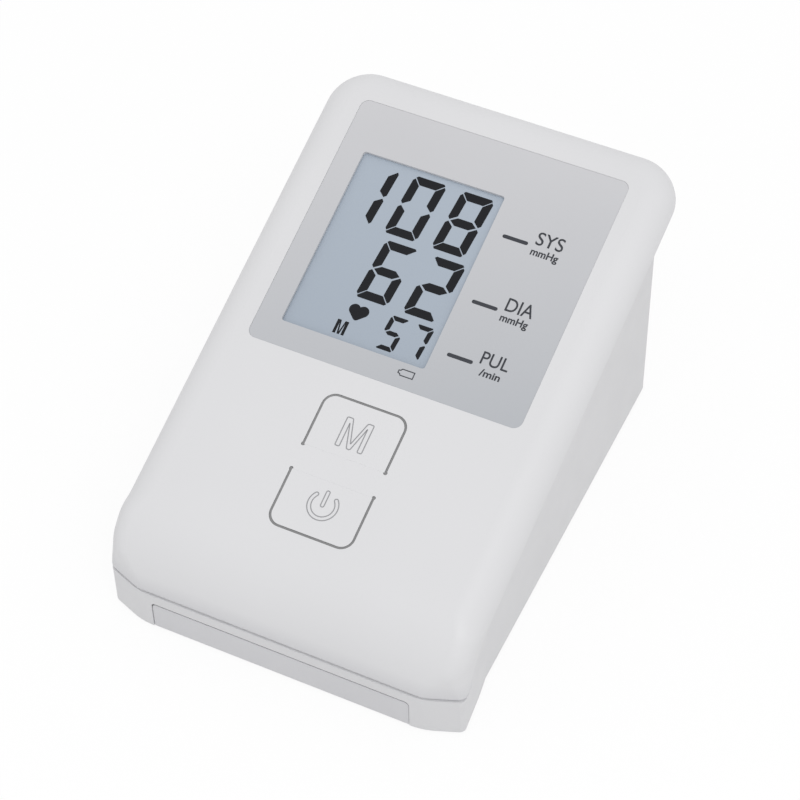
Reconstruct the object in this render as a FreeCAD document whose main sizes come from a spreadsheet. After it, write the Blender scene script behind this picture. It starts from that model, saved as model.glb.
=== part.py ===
"""Desktop upper-arm blood pressure monitor, as an assembly of separate pieces.

Millimetres, +X to the reader's right, +Y to the back, +Z up. The origin is the middle of the
footprint, on the surface that the feet stand on. Pieces that belong to the sloping face are
drawn in the face's own frame: X across, Y up the slope, Z out of the face, with its origin in
the middle of the display panel, and each gets that frame as its Placement.
"""
import FreeCAD, Part
import Sketcher
import math
import os
from FreeCAD import Placement, Rotation, Vector

doc = FreeCAD.newDocument("pressure_monitor")
sheet = doc.addObject("Spreadsheet::Sheet", "d")
finished = []


# Driving dimensions, in millimetres and degrees
SIZES = {
    # Housing: outer form
    "body_width": 105.6,
    "body_depth": 153.4,
    "face_slope": 17.46,
    "skirt_depth": 8.3,
    "rear_overhang": 16.3,
    "roll_radius": 23.5,
    "front_height": 14.7,
    "front_land": 0.4,
    "edge_round": 8.2,
    "corner_round": 9,
    "corner_low_round": 2,
    "corner_edge_round": 6,
    "inner_edge_round": 5,
    "inner_corner_round": 4.3,
    "inner_corner_low_round": 0.7,
    "inner_corner_edge_round": 3.1,
    "rear_corner_round": 13,
    "flank_width": 10.6,
    "flank_depth": 4,
    "flank_round": 20,
    "low_edge_round": 1.4,
    # Housing: walls and fits
    "cover_wall": 2,
    "base_wall": 2.2,
    "shell_gap": 0.1,
    "parting_gap": 0.2,
    "front_lip": 1,
    "ledge_thickness": 2,
    "bumper_length": 16,
    "bumper_step": 6.3,
    "bumper_flare": 1.2,
    "base_rear_round": 3,
    "floor_lift": 0.6,
    # Display panel and its window
    "panel_side_margin": 12.2,
    "rear_margin": 11.59,
    "panel_key_gap": 7.95,
    "front_margin": 3.7,
    "panel_round": 2.5,
    "panel_thickness": 0.9,
    "panel_sink": 0.1,
    "panel_gap": 0.05,
    "window_right": 31,
    "window_left": 7.15,
    "window_above": 15.45,
    "window_below": 7.45,
    "window_round": 0.9,
    # Liquid crystal display and its frame
    "glass_margin": 3,
    "glass_gap": 0.1,
    "glass_thickness": 2.2,
    "frame_rim": 1.8,
    "frame_gap": 0.2,
    "strip_width": 2.4,
    "strip_inset": 1.2,
    "strip_gap": 0.05,
    # Keys moulded in the cover on living hinges
    "key_width": 23.6,
    "key_length": 15.8,
    "key_web": 7.6,
    "key_thickness": 1.6,
    "key_round": 3.2,
    "slot_width": 0.7,
    "slot_end_radius": 0.57,
    "hinge_gap": 0.01,
    "hinge_depth": 0.4,
    "hinge_bevel": 1.2,
    "post_reach": 12,
    "post_radius": 1,
    # Tact switches
    "switch_side": 6,
    "switch_height": 3.5,
    "stem_radius": 1.75,
    "stem_gap": 0.05,
    "stem_proud": 0.8,
    "stem_length": 1.8,
    "stem_well": 1.7,
    "press_gap": 0.05,
    # Main board
    "board_depth": 8.4,
    "board_thickness": 1.6,
    "board_side_gap": 3.5,
    "board_end_gap": 0.7,
    "board_front_reach": 4.3,
    "board_edge": 3,
    "board_screw_set_back": 4.5,
    "tail_screw_gap": 6.7,
    "tail_edge": 3.5,
    "board_boss_radius": 2.6,
    "board_pilot_radius": 1,
    "board_screw_length": 5,
    "chip_side": 12,
    "chip_height": 1.6,
    "buzzer_radius": 6,
    "buzzer_inset": 3,
    "buzzer_height": 5.5,
    "sensor_side": 9,
    "sensor_height": 4,
    "port_radius": 2,
    "port_bore": 0.8,
    "port_length": 4.6,
    "tube_wall": 1,
    "tube_gap": 0.05,
    # Case screws
    "case_pilot_radius": 1.3,
    "case_screw_radius": 1.25,
    "case_hole_radius": 1.6,
    "case_well_radius": 2.8,
    "case_well_wall": 1.2,
    "case_seat_web": 2,
    "case_boss_radius": 3.6,
    "boss_gap": 0.2,
    "case_front_set_back": 28.5,
    "case_rear_inset": 16.8,
    "case_rear_set_back": 7.4,
    "case_front_seat": 22,
    "case_front_length": 15,
    "case_rear_length": 5.4,
    # Battery bay, cells and contacts
    "bay_wall": 1.6,
    "bay_margin": 1.6,
    "rail_cover": 1.4,
    "rail_cover_margin": 2.4,
    "cell_radius": 7.1,
    "cell_length": 50.5,
    "cell_nub_radius": 2.7,
    "cell_nub_length": 1,
    "cell_gap": 1,
    "cell_lift": 0.3,
    "contact_thickness": 0.4,
    "contact_height": 9,
    "contact_width": 10,
    "contact_gap": 0.05,
    "spring_radius": 4,
    "spring_tip_radius": 2.8,
    "spring_length": 4.55,
    "spring_wire": 0.35,
    "spring_turns": 2,
    # Battery door
    "door_inset": 14.5,
    "door_foot_gap": 1.8,
    "door_gap": 0.2,
    "door_top_gap": 0.8,
    "door_thickness": 2,
    "door_recess": 0.2,
    "lip_height": 9.6,
    "lip_thickness": 2,
    "lip_round": 1.2,
    "rail_width": 1.8,
    "rail_thickness": 0.9,
    "rail_gap": 0.1,
    "grip_width": 22,
    "grip_groove": 1,
    "grip_pitch": 2.4,
    "grip_depth": 0.5,
    # Pump
    "pump_z": 22,
    "motor_radius": 12,
    "motor_wall": 1,
    "motor_length": 27,
    "pump_set_back": 24,
    "head_radius": 13.5,
    "head_wall": 1.5,
    "head_length": 22,
    "head_block": 6,
    "shaft_radius": 1,
    "shaft_gap": 0.05,
    "armature_radius": 8,
    "armature_length": 17,
    "crank_radius": 6,
    "crank_thickness": 3,
    "crank_pin_radius": 1,
    "crank_pin_offset": 3.2,
    "crank_pin_length": 4,
    "sleeve_thickness": 2,
    "sleeve_length": 14,
    "strap_thickness": 1.5,
    "strap_width": 10,
    "strap_foot": 7.5,
    "strap_screw_radius": 1.2,
    "strap_screw_length": 8,
    "soft_gap": 0.1,
    # Air path
    "nipple_radius": 2,
    "nipple_bore": 1,
    "nipple_length": 4.6,
    "manifold_inset": 18.2,
    "manifold_side": 8,
    "tube_space": 10,
    "bend_height": 43,
    "bend_radius": 15,
    "socket_radius": 6,
    "socket_bore": 3,
    "socket_depth": 12,
    "socket_flange": 8,
    "socket_flange_thickness": 1.6,
    "socket_gap": 0.1,
    # Solenoid valve
    "valve_length": 13,
    "valve_width": 13,
    "nozzle_length": 4.4,
    "nozzle_radius": 4,
    "nozzle_chamber": 1.5,
    "chamber_radius": 2.6,
    "stand_wall": 1.6,
    "valve_plate": 1.2,
    "coil_radius": 5,
    "plunger_radius": 2.2,
    "plunger_gap": 0.05,
    "plunger_travel": 0.8,
    # Reach of holes past a face, room left under screws, and screw heads in shank sizes
    "overcut": 1,
    "pilot_room": 0.5,
    "pilot_cap": 1.2,
    "hollow_drop": 3,
    "head_ratio": 2,
    "head_height_ratio": 1.4,
    # Feet
    "foot_radius": 4.5,
    "foot_pocket": 0.8,
    "foot_gap": 0.1,
    "foot_side_inset": 7.9,
    "foot_front_inset": 11.5,
    "foot_rear_inset": 10.2,
}
for row, (alias, number) in enumerate(SIZES.items(), 1):
    sheet.set("A%d" % row, alias)
    sheet.set("B%d" % row, str(number))
    sheet.setAlias("B%d" % row, alias)
doc.recompute()


def value(expression):
    """The number that an expression on the sheet's values comes to."""
    if isinstance(expression, (int, float)):
        return float(expression)
    return float(sheet.evalExpression(expression))


# Places and sizes that follow from the driving ones, kept as formulas in a second sheet
PLACES = {
    "sin_slope": "sin(d.face_slope)",
    "cos_slope": "cos(d.face_slope)",
    "half_width": "d.body_width / 2",
    "front": "-d.body_depth / 2",
    "roll_y": "front + d.roll_radius",
    "roll_z": "d.front_height + d.front_land",
    # Housing
    "cover_inset": "d.cover_wall + d.shell_gap",
    "base_half": "half_width - cover_inset",
    "inner_half": "base_half - d.base_wall",
    "rear_wall": "-front - d.rear_overhang",
    "inner_rear": "rear_wall - d.base_wall",
    "floor_top": "d.floor_lift + d.base_wall",
    # Sloping face, from the end of the front roll to the rear edge
    "face_run": "d.body_depth - d.skirt_depth * sin_slope - d.roll_radius * (1 - sin_slope)",
    "face_length": "face_run / cos_slope",
    "keys_length": "2 * d.key_length + d.key_web + d.front_margin + d.panel_key_gap",
    "panel_height": "face_length - d.rear_margin - keys_length",
    "face_rear": "panel_height / 2 + d.rear_margin",
    "face_front": "face_rear - face_length",
    "face_y": "roll_y - d.roll_radius * sin_slope - face_front * cos_slope",
    "face_z": "roll_z + d.roll_radius * cos_slope - face_front * sin_slope",
    "memory_root": "-panel_height / 2 - d.panel_key_gap - d.key_length",
    "power_root": "memory_root - d.key_web",
    # Display
    "panel_width": "d.body_width - 2 * d.panel_side_margin",
    "window_width": "panel_width - d.window_left - d.window_right",
    "window_height": "panel_height - d.window_above - d.window_below",
    "window_x": "(window_width - panel_width) / 2 + d.window_left",
    "window_y": "(d.window_below - d.window_above) / 2",
    "glass_width": "window_width + 2 * d.glass_margin",
    "glass_height": "window_height + 2 * d.glass_margin",
    "panel_back": "-d.panel_sink - d.panel_thickness",
    "glass_front": "panel_back - d.glass_gap",
    "glass_back": "glass_front - d.glass_thickness",
    "frame_border": "d.frame_gap + d.frame_rim",
    # Main board
    "board_face": "-d.board_depth",
    "board_back": "board_face - d.board_thickness",
    "board_half": "inner_half - d.board_side_gap",
    "board_top": "window_y + glass_height / 2 + frame_border + d.board_end_gap",
    "board_bottom": "-panel_height / 2 - d.board_front_reach",
    "board_screw_x": "board_half - d.board_edge",
    "board_screw_top": "board_top - d.board_screw_set_back",
    "board_screw_low": "board_bottom + d.board_edge",
    "tail_screw_x": "d.key_width / 2 + d.tail_screw_gap",
    "tail_screw_y": "power_root + d.key_web / 2",
    "tail_half": "tail_screw_x + d.tail_edge",
    "stem_top": "board_face + d.switch_height + d.stem_proud",
    # Case screws and feet
    "case_front_x": "inner_half - d.case_boss_radius - d.boss_gap",
    "case_front_y": "front + d.case_front_set_back",
    "case_rear_x": "half_width - d.case_rear_inset",
    "case_rear_y": "face_rear - d.case_rear_set_back",
    "well_top": "d.case_front_seat - d.case_seat_web",
    "foot_front_x": "half_width - d.door_inset + d.door_foot_gap + d.foot_radius",
    "foot_front_y": "front + d.foot_front_inset",
    "foot_rear_x": "base_half - d.foot_side_inset",
    "foot_rear_y": "rear_wall - d.foot_rear_inset",
    # Battery bay and door
    "door_front": "front + d.door_recess",
    "door_half": "half_width - d.door_inset",
    "door_top": "d.floor_lift + d.door_thickness",
    "rail_top": "d.floor_lift + d.rail_thickness",
    "lip_back": "door_front + d.lip_thickness + d.door_gap",
    "bay_front": "lip_back + d.bay_wall",
    "contacts_length": "2 * d.contact_thickness + 3 * d.contact_gap + d.spring_length",
    "bay_rear": "bay_front + d.cell_length + d.cell_nub_length + contacts_length",
    "cell_pitch": "2 * d.cell_radius + d.cell_gap",
    "bay_half": "1.5 * cell_pitch + d.cell_radius + d.bay_margin",
    "bay_roof": "door_top + 2 * d.cell_lift + 2 * d.cell_radius",
    "door_rear": "bay_rear + d.bay_wall / 2",
    "cell_z": "door_top + d.cell_lift + d.cell_radius",
    # Pump, valve and air socket, all on one level
    "manifold_x": "d.manifold_inset - base_half",
    "pump_y": "inner_rear - d.pump_set_back",
    "strap_inner": "d.motor_radius + d.sleeve_thickness + 2 * d.soft_gap",
    "strap_outer": "strap_inner + d.strap_thickness",
    "head_end": "manifold_x + d.manifold_side / 2 + d.tube_space",
    "motor_front": "head_end + d.head_length",
    "strap_x": "motor_front + d.motor_length / 2",
    "strap_reach": "strap_outer + d.strap_foot",
    "valve_mouth": "pump_y - d.manifold_side / 2 - d.tube_space",
    "valve_end": "valve_mouth - d.nozzle_length",
    "valve_start": "valve_end - d.valve_length",
    "socket_outer": "-base_half - d.socket_flange_thickness",
    "socket_inner": "manifold_x - d.manifold_side / 2",
    "sensor_y": "(pump_y - face_y) * cos_slope + (d.bend_height - face_z) * sin_slope",
    "sensor_back": "board_back - d.sensor_height",
}
places = doc.addObject("Spreadsheet::Sheet", "k")
for row, (alias, formula) in enumerate(PLACES.items(), 1):
    places.set("A%d" % row, alias)
    places.set("B%d" % row, "=" + formula)
    places.setAlias("B%d" % row, alias)
doc.recompute()


def face_y(along, out):
    """Row Y of a point on the face's frame."""
    return "(k.face_y + (%s) * k.cos_slope - (%s) * k.sin_slope)" % (along, out)


def face_z(along, out):
    """Row Z of a point on the face's frame."""
    return "(k.face_z + (%s) * k.sin_slope + (%s) * k.cos_slope)" % (along, out)


def bind(item, **expressions):
    """Tie properties to the sheet: double underscores in a keyword stand for dots."""
    for prop, expression in expressions.items():
        item.setExpression(prop.replace("__", "."), str(expression))


def place(item, x=0, y=0, z=0):
    bind(item, Placement__Base__x=x, Placement__Base__y=y, Placement__Base__z=z)
    return item


def box(name, x, y, z):
    """A block between two expressions along each axis."""
    item = doc.addObject("Part::Box", name)
    place(item, x[0], y[0], z[0])
    bind(item, Length="(%s) - (%s)" % (x[1], x[0]), Width="(%s) - (%s)" % (y[1], y[0]),
         Height="(%s) - (%s)" % (z[1], z[0]))
    return item


TURNS = {"x": Rotation(Vector(0, 1, 0), 90), "y": Rotation(Vector(1, 0, 0), -90), "z": Rotation()}


def rod(name, axis, start, radius, length):
    """A cylinder that runs along an axis from its start point."""
    item = doc.addObject("Part::Cylinder", name)
    item.Placement = Placement(Vector(), TURNS[axis])
    place(item, *start)
    bind(item, Radius=radius, Height=length)
    return item


def fuse(name, *items):
    item = doc.addObject("Part::MultiFuse", name)
    item.Shapes = list(items)
    item.Refine = True
    return item


def common(name, *items):
    item = doc.addObject("Part::MultiCommon", name)
    item.Shapes = list(items)
    return item


def cut(name, base, *tools):
    item = doc.addObject("Part::Cut", name)
    item.Base = base
    item.Tool = tools[0] if len(tools) == 1 else fuse(name + "_tools", *tools)
    return item


def group(name, *items):
    item = doc.addObject("Part::Compound", name)
    item.Links = list(items)
    return item


def draw(sketch, corners, arcs=None):
    """Draw a closed outline whose corners and radii are tied to the sheet.

    corners holds pairs of expressions. arcs maps a corner's number to the arc that leaves it, as
    (centre x, centre y, radius, turn), with turn +1 for anticlockwise and -1 for clockwise. A single
    corner is the centre of a circle.
    """
    arcs = arcs or {}
    if len(corners) == 1:
        return draw_circle(sketch, *arcs[0][:3])
    spots = [Vector(value(x), value(y), 0) for x, y in corners]
    ends = []
    for i, start in enumerate(spots):
        stop = spots[(i + 1) % len(spots)]
        if i not in arcs:
            sketch.addGeometry(Part.LineSegment(start, stop), False)
            ends.append((1, 2))
            continue
        centre_x, centre_y, radius, turn = arcs[i]
        centre = Vector(value(centre_x), value(centre_y), 0)
        first, last = (start, stop) if turn > 0 else (stop, start)
        angles = [math.atan2(p.y - centre.y, p.x - centre.x) for p in (first, last)]
        circle = Part.Circle(centre, Vector(0, 0, 1), value(radius))
        sketch.addGeometry(Part.ArcOfCircle(circle, *angles), False)
        ends.append((1, 2) if turn > 0 else (2, 1))
    for i, (x, y) in enumerate(corners):
        after = (i + 1) % len(corners)
        sketch.addConstraint(Sketcher.Constraint("Coincident", i, ends[i][1], after, ends[after][0]))
        for kind, text, number in (("DistanceX", x, spots[i].x), ("DistanceY", y, spots[i].y)):
            c = sketch.addConstraint(Sketcher.Constraint(kind, -1, 1, i, ends[i][0], number))
            sketch.setExpression("Constraints[%d]" % c, str(text))
        if i in arcs:
            c = sketch.addConstraint(Sketcher.Constraint("Radius", i, value(arcs[i][2])))
            sketch.setExpression("Constraints[%d]" % c, str(arcs[i][2]))
    return sketch


def draw_circle(sketch, x, y, radius):
    """Draw a circle whose centre and radius are tied to the sheet."""
    centre = Vector(value(x), value(y), 0)
    sketch.addGeometry(Part.Circle(centre, Vector(0, 0, 1), value(radius)), False)
    for kind, text, numbers in (("DistanceX", x, (-1, 1, 0, 3, centre.x)),
                                ("DistanceY", y, (-1, 1, 0, 3, centre.y)),
                                ("Radius", radius, (0, value(radius)))):
        c = sketch.addConstraint(Sketcher.Constraint(kind, *numbers))
        sketch.setExpression("Constraints[%d]" % c, str(text))
    return sketch


def rectangle(centre_x, centre_y, width, height, radius=None):
    """Corners and arcs of a rectangle, with rounded corners where a radius is given."""
    x0, x1 = ["(%s %s (%s) / 2)" % (centre_x, sign, width) for sign in "-+"]
    y0, y1 = ["(%s %s (%s) / 2)" % (centre_y, sign, height) for sign in "-+"]
    if radius is None:
        return [(x0, y0), (x1, y0), (x1, y1), (x0, y1)], {}
    left, right = "(%s + %s)" % (x0, radius), "(%s - %s)" % (x1, radius)
    low, high = "(%s + %s)" % (y0, radius), "(%s - %s)" % (y1, radius)
    corners = [(left, y0), (right, y0), (x1, low), (x1, high), (right, y1), (left, y1), (x0, high),
               (x0, low)]
    arcs = {1: (right, low, radius, 1), 3: (right, high, radius, 1), 5: (left, high, radius, 1),
            7: (left, low, radius, 1)}
    return corners, arcs


SIDE_VIEW = Rotation(Vector(1, 1, 1), 120)


def extrude_side(name, corners, arcs, half_width):
    """Extrude an outline of the side view equally to both sides of the middle plane."""
    profile = doc.addObject("Sketcher::SketchObject", name + "_profile")
    profile.Placement = Placement(Vector(), SIDE_VIEW)
    draw(profile, corners, arcs)
    solid = doc.addObject("Part::Extrusion", name)
    solid.Base = profile
    solid.DirMode = "Normal"
    solid.Solid = True
    bind(solid, LengthFwd=half_width, LengthRev=half_width)
    return solid


def extrude_plan(name, outline, low, high):
    """Extrude an outline of the plan view between two heights."""
    plan = doc.addObject("Sketcher::SketchObject", name + "_plan")
    draw(plan, *outline)
    place(plan, 0, 0, low)
    solid = doc.addObject("Part::Extrusion", name)
    solid.Base = plan
    solid.DirMode = "Normal"
    solid.Solid = True
    bind(solid, LengthFwd="(%s) - (%s)" % (high, low), LengthRev=0)
    return solid


class Moulding:
    """A PartDesign body that is padded and pocketed on its own XY plane."""

    def __init__(self, name):
        self.name = name
        self.body = doc.addObject("PartDesign::Body", name)
        self.plane = [f for f in self.body.Origin.OriginFeatures if f.Role == "XY_Plane"][0]
        self.count = 0

    def sketch(self, outline, level):
        self.count += 1
        item = self.body.newObject("Sketcher::SketchObject", "%s_sketch_%d" % (self.name, self.count))
        item.AttachmentSupport = (self.plane, [""])
        item.MapMode = "FlatFace"
        bind(item, AttachmentOffset__Base__z=level)
        return draw(item, *outline)

    def pad(self, outline, low, high):
        profile = self.sketch(outline, low)
        feature = self.body.newObject("PartDesign::Pad", "%s_pad_%d" % (self.name, self.count))
        feature.Profile = profile
        bind(feature, Length="(%s) - (%s)" % (high, low))
        doc.recompute()
        return self

    def pocket(self, outline, top, depth):
        before = self.body.Shape.Volume
        profile = self.sketch(outline, top)
        feature = self.body.newObject("PartDesign::Pocket", "%s_pocket_%d" % (self.name, self.count))
        feature.Profile = profile
        bind(feature, Length=depth)
        doc.recompute()
        if self.body.Shape.Volume >= before:
            raise RuntimeError(self.name + ": a pocket cuts nothing")
        return self

    def hole(self, x, y, radius, top, depth):
        return self.pocket(circle_outline(x, y, radius), top, depth)


def circle_outline(x, y, radius):
    return [(x, y)], {0: (x, y, radius)}


def finish(item, node, on_face=False):
    """Name a finished sub-part, and put it in the face's frame if it was drawn there."""
    item.Label = node
    if on_face:
        item.Placement = Placement(Vector(), Rotation(Vector(1, 0, 0), value("d.face_slope")))
        bind(item, Placement__Rotation__Angle="d.face_slope")
        place(item, 0, "k.face_y", "k.face_z")
    finished.append(item)
    return item


# Housing ---------------------------------------------------------------------------------------

def lower_edge(skirt, land_z):
    """The cover's lower edge in the side view, from its rear end forward to the front wall."""
    low_radius = "(d.roll_radius - %s)" % skirt
    corners = [(face_y("k.face_rear", "-%s" % skirt), face_z("k.face_rear", "-%s" % skirt)),
               ("(k.roll_y - %s * k.sin_slope)" % low_radius, "(k.roll_z + %s * k.cos_slope)" % low_radius),
               ("(k.roll_y - %s)" % low_radius, "k.roll_z"),
               ("(k.roll_y - %s)" % low_radius, land_z)]
    return corners, low_radius


def plan_outline(inset, back):
    """The plan at a depth under the skin: a straight front, two flanks and parallel sides."""
    half = "(k.half_width - %s)" % inset
    front = "(k.front + %s)" % inset
    flank_x = "(k.half_width - d.flank_width - %s * d.flank_depth / d.flank_width)" % inset
    flank_y = "(%s + d.flank_depth)" % front
    return [("-" + flank_x, front), (flank_x, front), (half, flank_y), (half, back), ("-" + half, back),
            ("-" + half, flank_y)], {}


def envelope(name, inset, rear_and_bottom, bottom_arcs, side):
    """The outer form at a depth under its skin: face, front roll, flanks and rounded edges.

    rear_and_bottom closes the side view, from the rear end of the face round to the front wall. side
    is "" for the skin's own radii and "inner_" for those of the hollow.
    """
    radius = "(d.roll_radius - %s)" % inset
    half = "(k.half_width - %s)" % inset
    front = "(k.front + %s)" % inset
    roll_top = ("(k.roll_y - %s * k.sin_slope)" % radius, "(k.roll_z + %s * k.cos_slope)" % radius)
    face_end = "k.face_rear - %s" % inset
    rear_top = (face_y(face_end, "-" + inset), face_z(face_end, "-" + inset))
    corners = [(front, "k.roll_z"), roll_top, rear_top]
    arcs = {0: ("k.roll_y", "k.roll_z", radius, -1)}
    arcs.update({i + 3: arc for i, arc in bottom_arcs.items()})
    profile = extrude_side(name + "_side", corners + rear_and_bottom, arcs, half)
    plan = extrude_plan(name + "_plan_block", plan_outline(inset, "d.body_depth"), 0, "2 * k.face_z")
    block = common(name + "_block", profile, plan)
    doc.recompute()
    rear = round_edges(name + "_rear_corners", block, pick_rear, inset, "d.rear_corner_round - %s" % inset)
    front_corners = round_edges(name + "_front_corners", rear, pick_front, inset,
                                "d.%scorner_round" % side, "d.%scorner_low_round" % side)
    return round_upper_edges(name, front_corners, inset, side)


# Edges are picked by place: this close counts as the same place, and a seam spans less than SEAM
TOUCH = 0.01
SEAM = 1


def middle(edge):
    return edge.valueAt((edge.FirstParameter + edge.LastParameter) / 2)


def runs_along(edge, direction):
    start, stop = [v.Point for v in edge.Vertexes[:2]] if len(edge.Vertexes) > 1 else (Vector(), Vector())
    run = stop - start
    return run.Length > TOUCH and abs(abs(run.normalize().dot(direction)) - 1) < TOUCH * TOUCH


def face_normal():
    slope = math.radians(value("d.face_slope"))
    return Vector(0, -math.sin(slope), math.cos(slope))


def pick_rear(edge, half):
    at = middle(edge)
    return runs_along(edge, face_normal()) and at.y > 0 and abs(abs(at.x) - half) < TOUCH


def pick_front(edge, half):
    at = middle(edge)
    front = value("k.front") + value("d.flank_depth") + value("k.half_width") - half
    at_corner = abs(at.y - front) < TOUCH and abs(abs(at.x) - half) < TOUCH
    return at_corner and runs_along(edge, Vector(0, 0, 1))


def pick_back(edge, half):
    at = middle(edge)
    at_corner = abs(abs(at.x) - half) < TOUCH and abs(at.y - value("k.rear_wall")) < TOUCH
    return at_corner and runs_along(edge, Vector(0, 0, 1))


def pick_flank(edge, half):
    at = middle(edge)
    across = abs(at.x) - half + value("d.flank_width")
    at_corner = abs(across) < TOUCH and abs(at.y - value("k.front")) < TOUCH
    return at_corner and runs_along(edge, Vector(0, 0, 1))


def pick_low(edge, half):
    """The cover's lower edge along the front wall, the flanks and the two front corners."""
    at = middle(edge)
    at_land = abs(at.z - value("d.front_height")) < TOUCH
    return at_land and at.y < value("k.front + d.skirt_depth") - TOUCH


def round_edges(name, base, pick, inset, radius, low_radius=None):
    """Round the picked edges, to another radius at their lower end where one is given."""
    half = value("k.half_width - %s" % inset)
    high = value(radius)
    low = value(low_radius or radius)
    edges = []
    for i, edge in enumerate(base.Shape.Edges, 1):
        if pick(edge, half):
            falls = edge.valueAt(edge.FirstParameter).z > edge.valueAt(edge.LastParameter).z
            edges.append((i, high, low) if falls else (i, low, high))
    if not edges:
        raise RuntimeError(name + ": no edge to round")
    item = doc.addObject("Part::Fillet", name)
    item.Base = base
    item.Edges = edges
    doc.recompute()
    return item


def round_upper_edges(name, base, inset, side):
    """Round the rim of the face and of the front roll, less at the two front corners."""
    depth = value(inset)
    half = value("k.half_width") - depth
    wide = value("d.%sedge_round" % side)
    narrow = value("d.%scorner_edge_round" % side)
    roll = Vector(0, value("k.roll_y"), value("k.roll_z"))
    reach = value("d.roll_radius") - depth
    origin = Vector(0, value("k.face_y"), value("k.face_z"))
    normal = face_normal()
    roll_start = roll.y + normal.y * reach
    edges = []
    for i, edge in enumerate(base.Shape.Edges, 1):
        at = middle(edge)
        on_face = abs((at - origin).dot(normal) + depth) < TOUCH and at.y > roll_start - TOUCH
        from_roll = math.hypot(at.y - roll.y, at.z - roll.z)
        on_roll = abs(from_roll - reach) < 2 * TOUCH and roll.z + TOUCH < at.z and at.y < roll_start + TOUCH
        seam = abs(at.x) < SEAM and abs(at.y - roll_start) < 10 * TOUCH
        if seam or not (on_face or on_roll):
            continue
        radii = (wide, wide) if on_face else (narrow, narrow)
        if on_roll and abs(abs(at.x) - half) < 5 * TOUCH:
            falls = edge.valueAt(edge.FirstParameter).z > edge.valueAt(edge.LastParameter).z
            radii = (wide, narrow) if falls else (narrow, wide)
        edges.append((i,) + radii)
    item = doc.addObject("Part::Fillet", name)
    item.Base = base
    item.Edges = edges
    doc.recompute()
    return item


def cover_form(name, inset, drop, side=""):
    """The cover's outer form or its hollow. drop lengthens the hollow past the lower edge."""
    land_z = "(d.front_height - %s)" % drop
    corners, low_radius = lower_edge("(d.skirt_depth + %s)" % drop, land_z)
    corners[0] = (face_y("k.face_rear - %s" % inset, "-(d.skirt_depth + %s)" % drop),
                  face_z("k.face_rear - %s" % inset, "-(d.skirt_depth + %s)" % drop))
    corners.append(("(k.front + %s)" % inset, land_z))
    arcs = {1: ("k.roll_y", "k.roll_z", low_radius, 1)}
    return envelope(name, inset, corners, arcs, side)


def front_screw_post(name, radius, low, high):
    return [rod("%s_%d" % (name, i), "z", (x, "k.case_front_y", low), radius, "(%s) - (%s)" % (high, low))
            for i, x in enumerate(("-k.case_front_x", "k.case_front_x"))]


def face_rod(name, x, y, low, high, radius):
    """A cylinder square to the face, in the row's frame."""
    item = doc.addObject("Part::Cylinder", name)
    item.Placement = Placement(Vector(), Rotation(Vector(1, 0, 0), value("d.face_slope")))
    bind(item, Placement__Rotation__Angle="d.face_slope")
    place(item, x, face_y(y, low), face_z(y, low))
    bind(item, Radius=radius, Height="(%s) - (%s)" % (high, low))
    return item


def face_plate(name, outline, low, high):
    """A plate parallel to the face, in the row's frame."""
    plate = extrude_plan(name + "_raw", outline, low, high)
    holder = group(name, plate)
    holder.Placement = Placement(Vector(), Rotation(Vector(1, 0, 0), value("d.face_slope")))
    bind(holder, Placement__Rotation__Angle="d.face_slope")
    return place(holder, 0, "k.face_y", "k.face_z")


def board_screw_spots():
    """Where the main board is screwed to the cover, in the face's frame."""
    for x in ("-k.board_screw_x", "k.board_screw_x"):
        for y in ("k.board_screw_top", "k.board_screw_low"):
            yield x, y
    for x in ("-k.tail_screw_x", "k.tail_screw_x"):
        yield x, "k.tail_screw_y"


KEYS = {"memory": ("k.memory_root", 1), "power": ("k.power_root", -1)}


def key_outline(root, way, grow, end_grow):
    """A key's tongue in plan, from its root to its rounded free end."""
    half = "(d.key_width / 2 + %s)" % grow
    tip = "(%s + %d * (d.key_length + %s))" % (root, way, grow)
    base_line = "(%s + %d * (%s))" % (root, way, end_grow)
    radius = "(d.key_round + %s)" % grow
    bend = "(%s - %d * %s)" % (tip, way, radius)
    inner = "(%s - %s)" % (half, radius)
    corners = [("-" + half, base_line), (half, base_line), (half, bend), (inner, tip), ("-" + inner, tip),
               ("-" + half, bend)]
    arcs = {2: (inner, bend, radius, way), 4: ("-" + inner, bend, radius, way)}
    return corners, arcs


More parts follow.
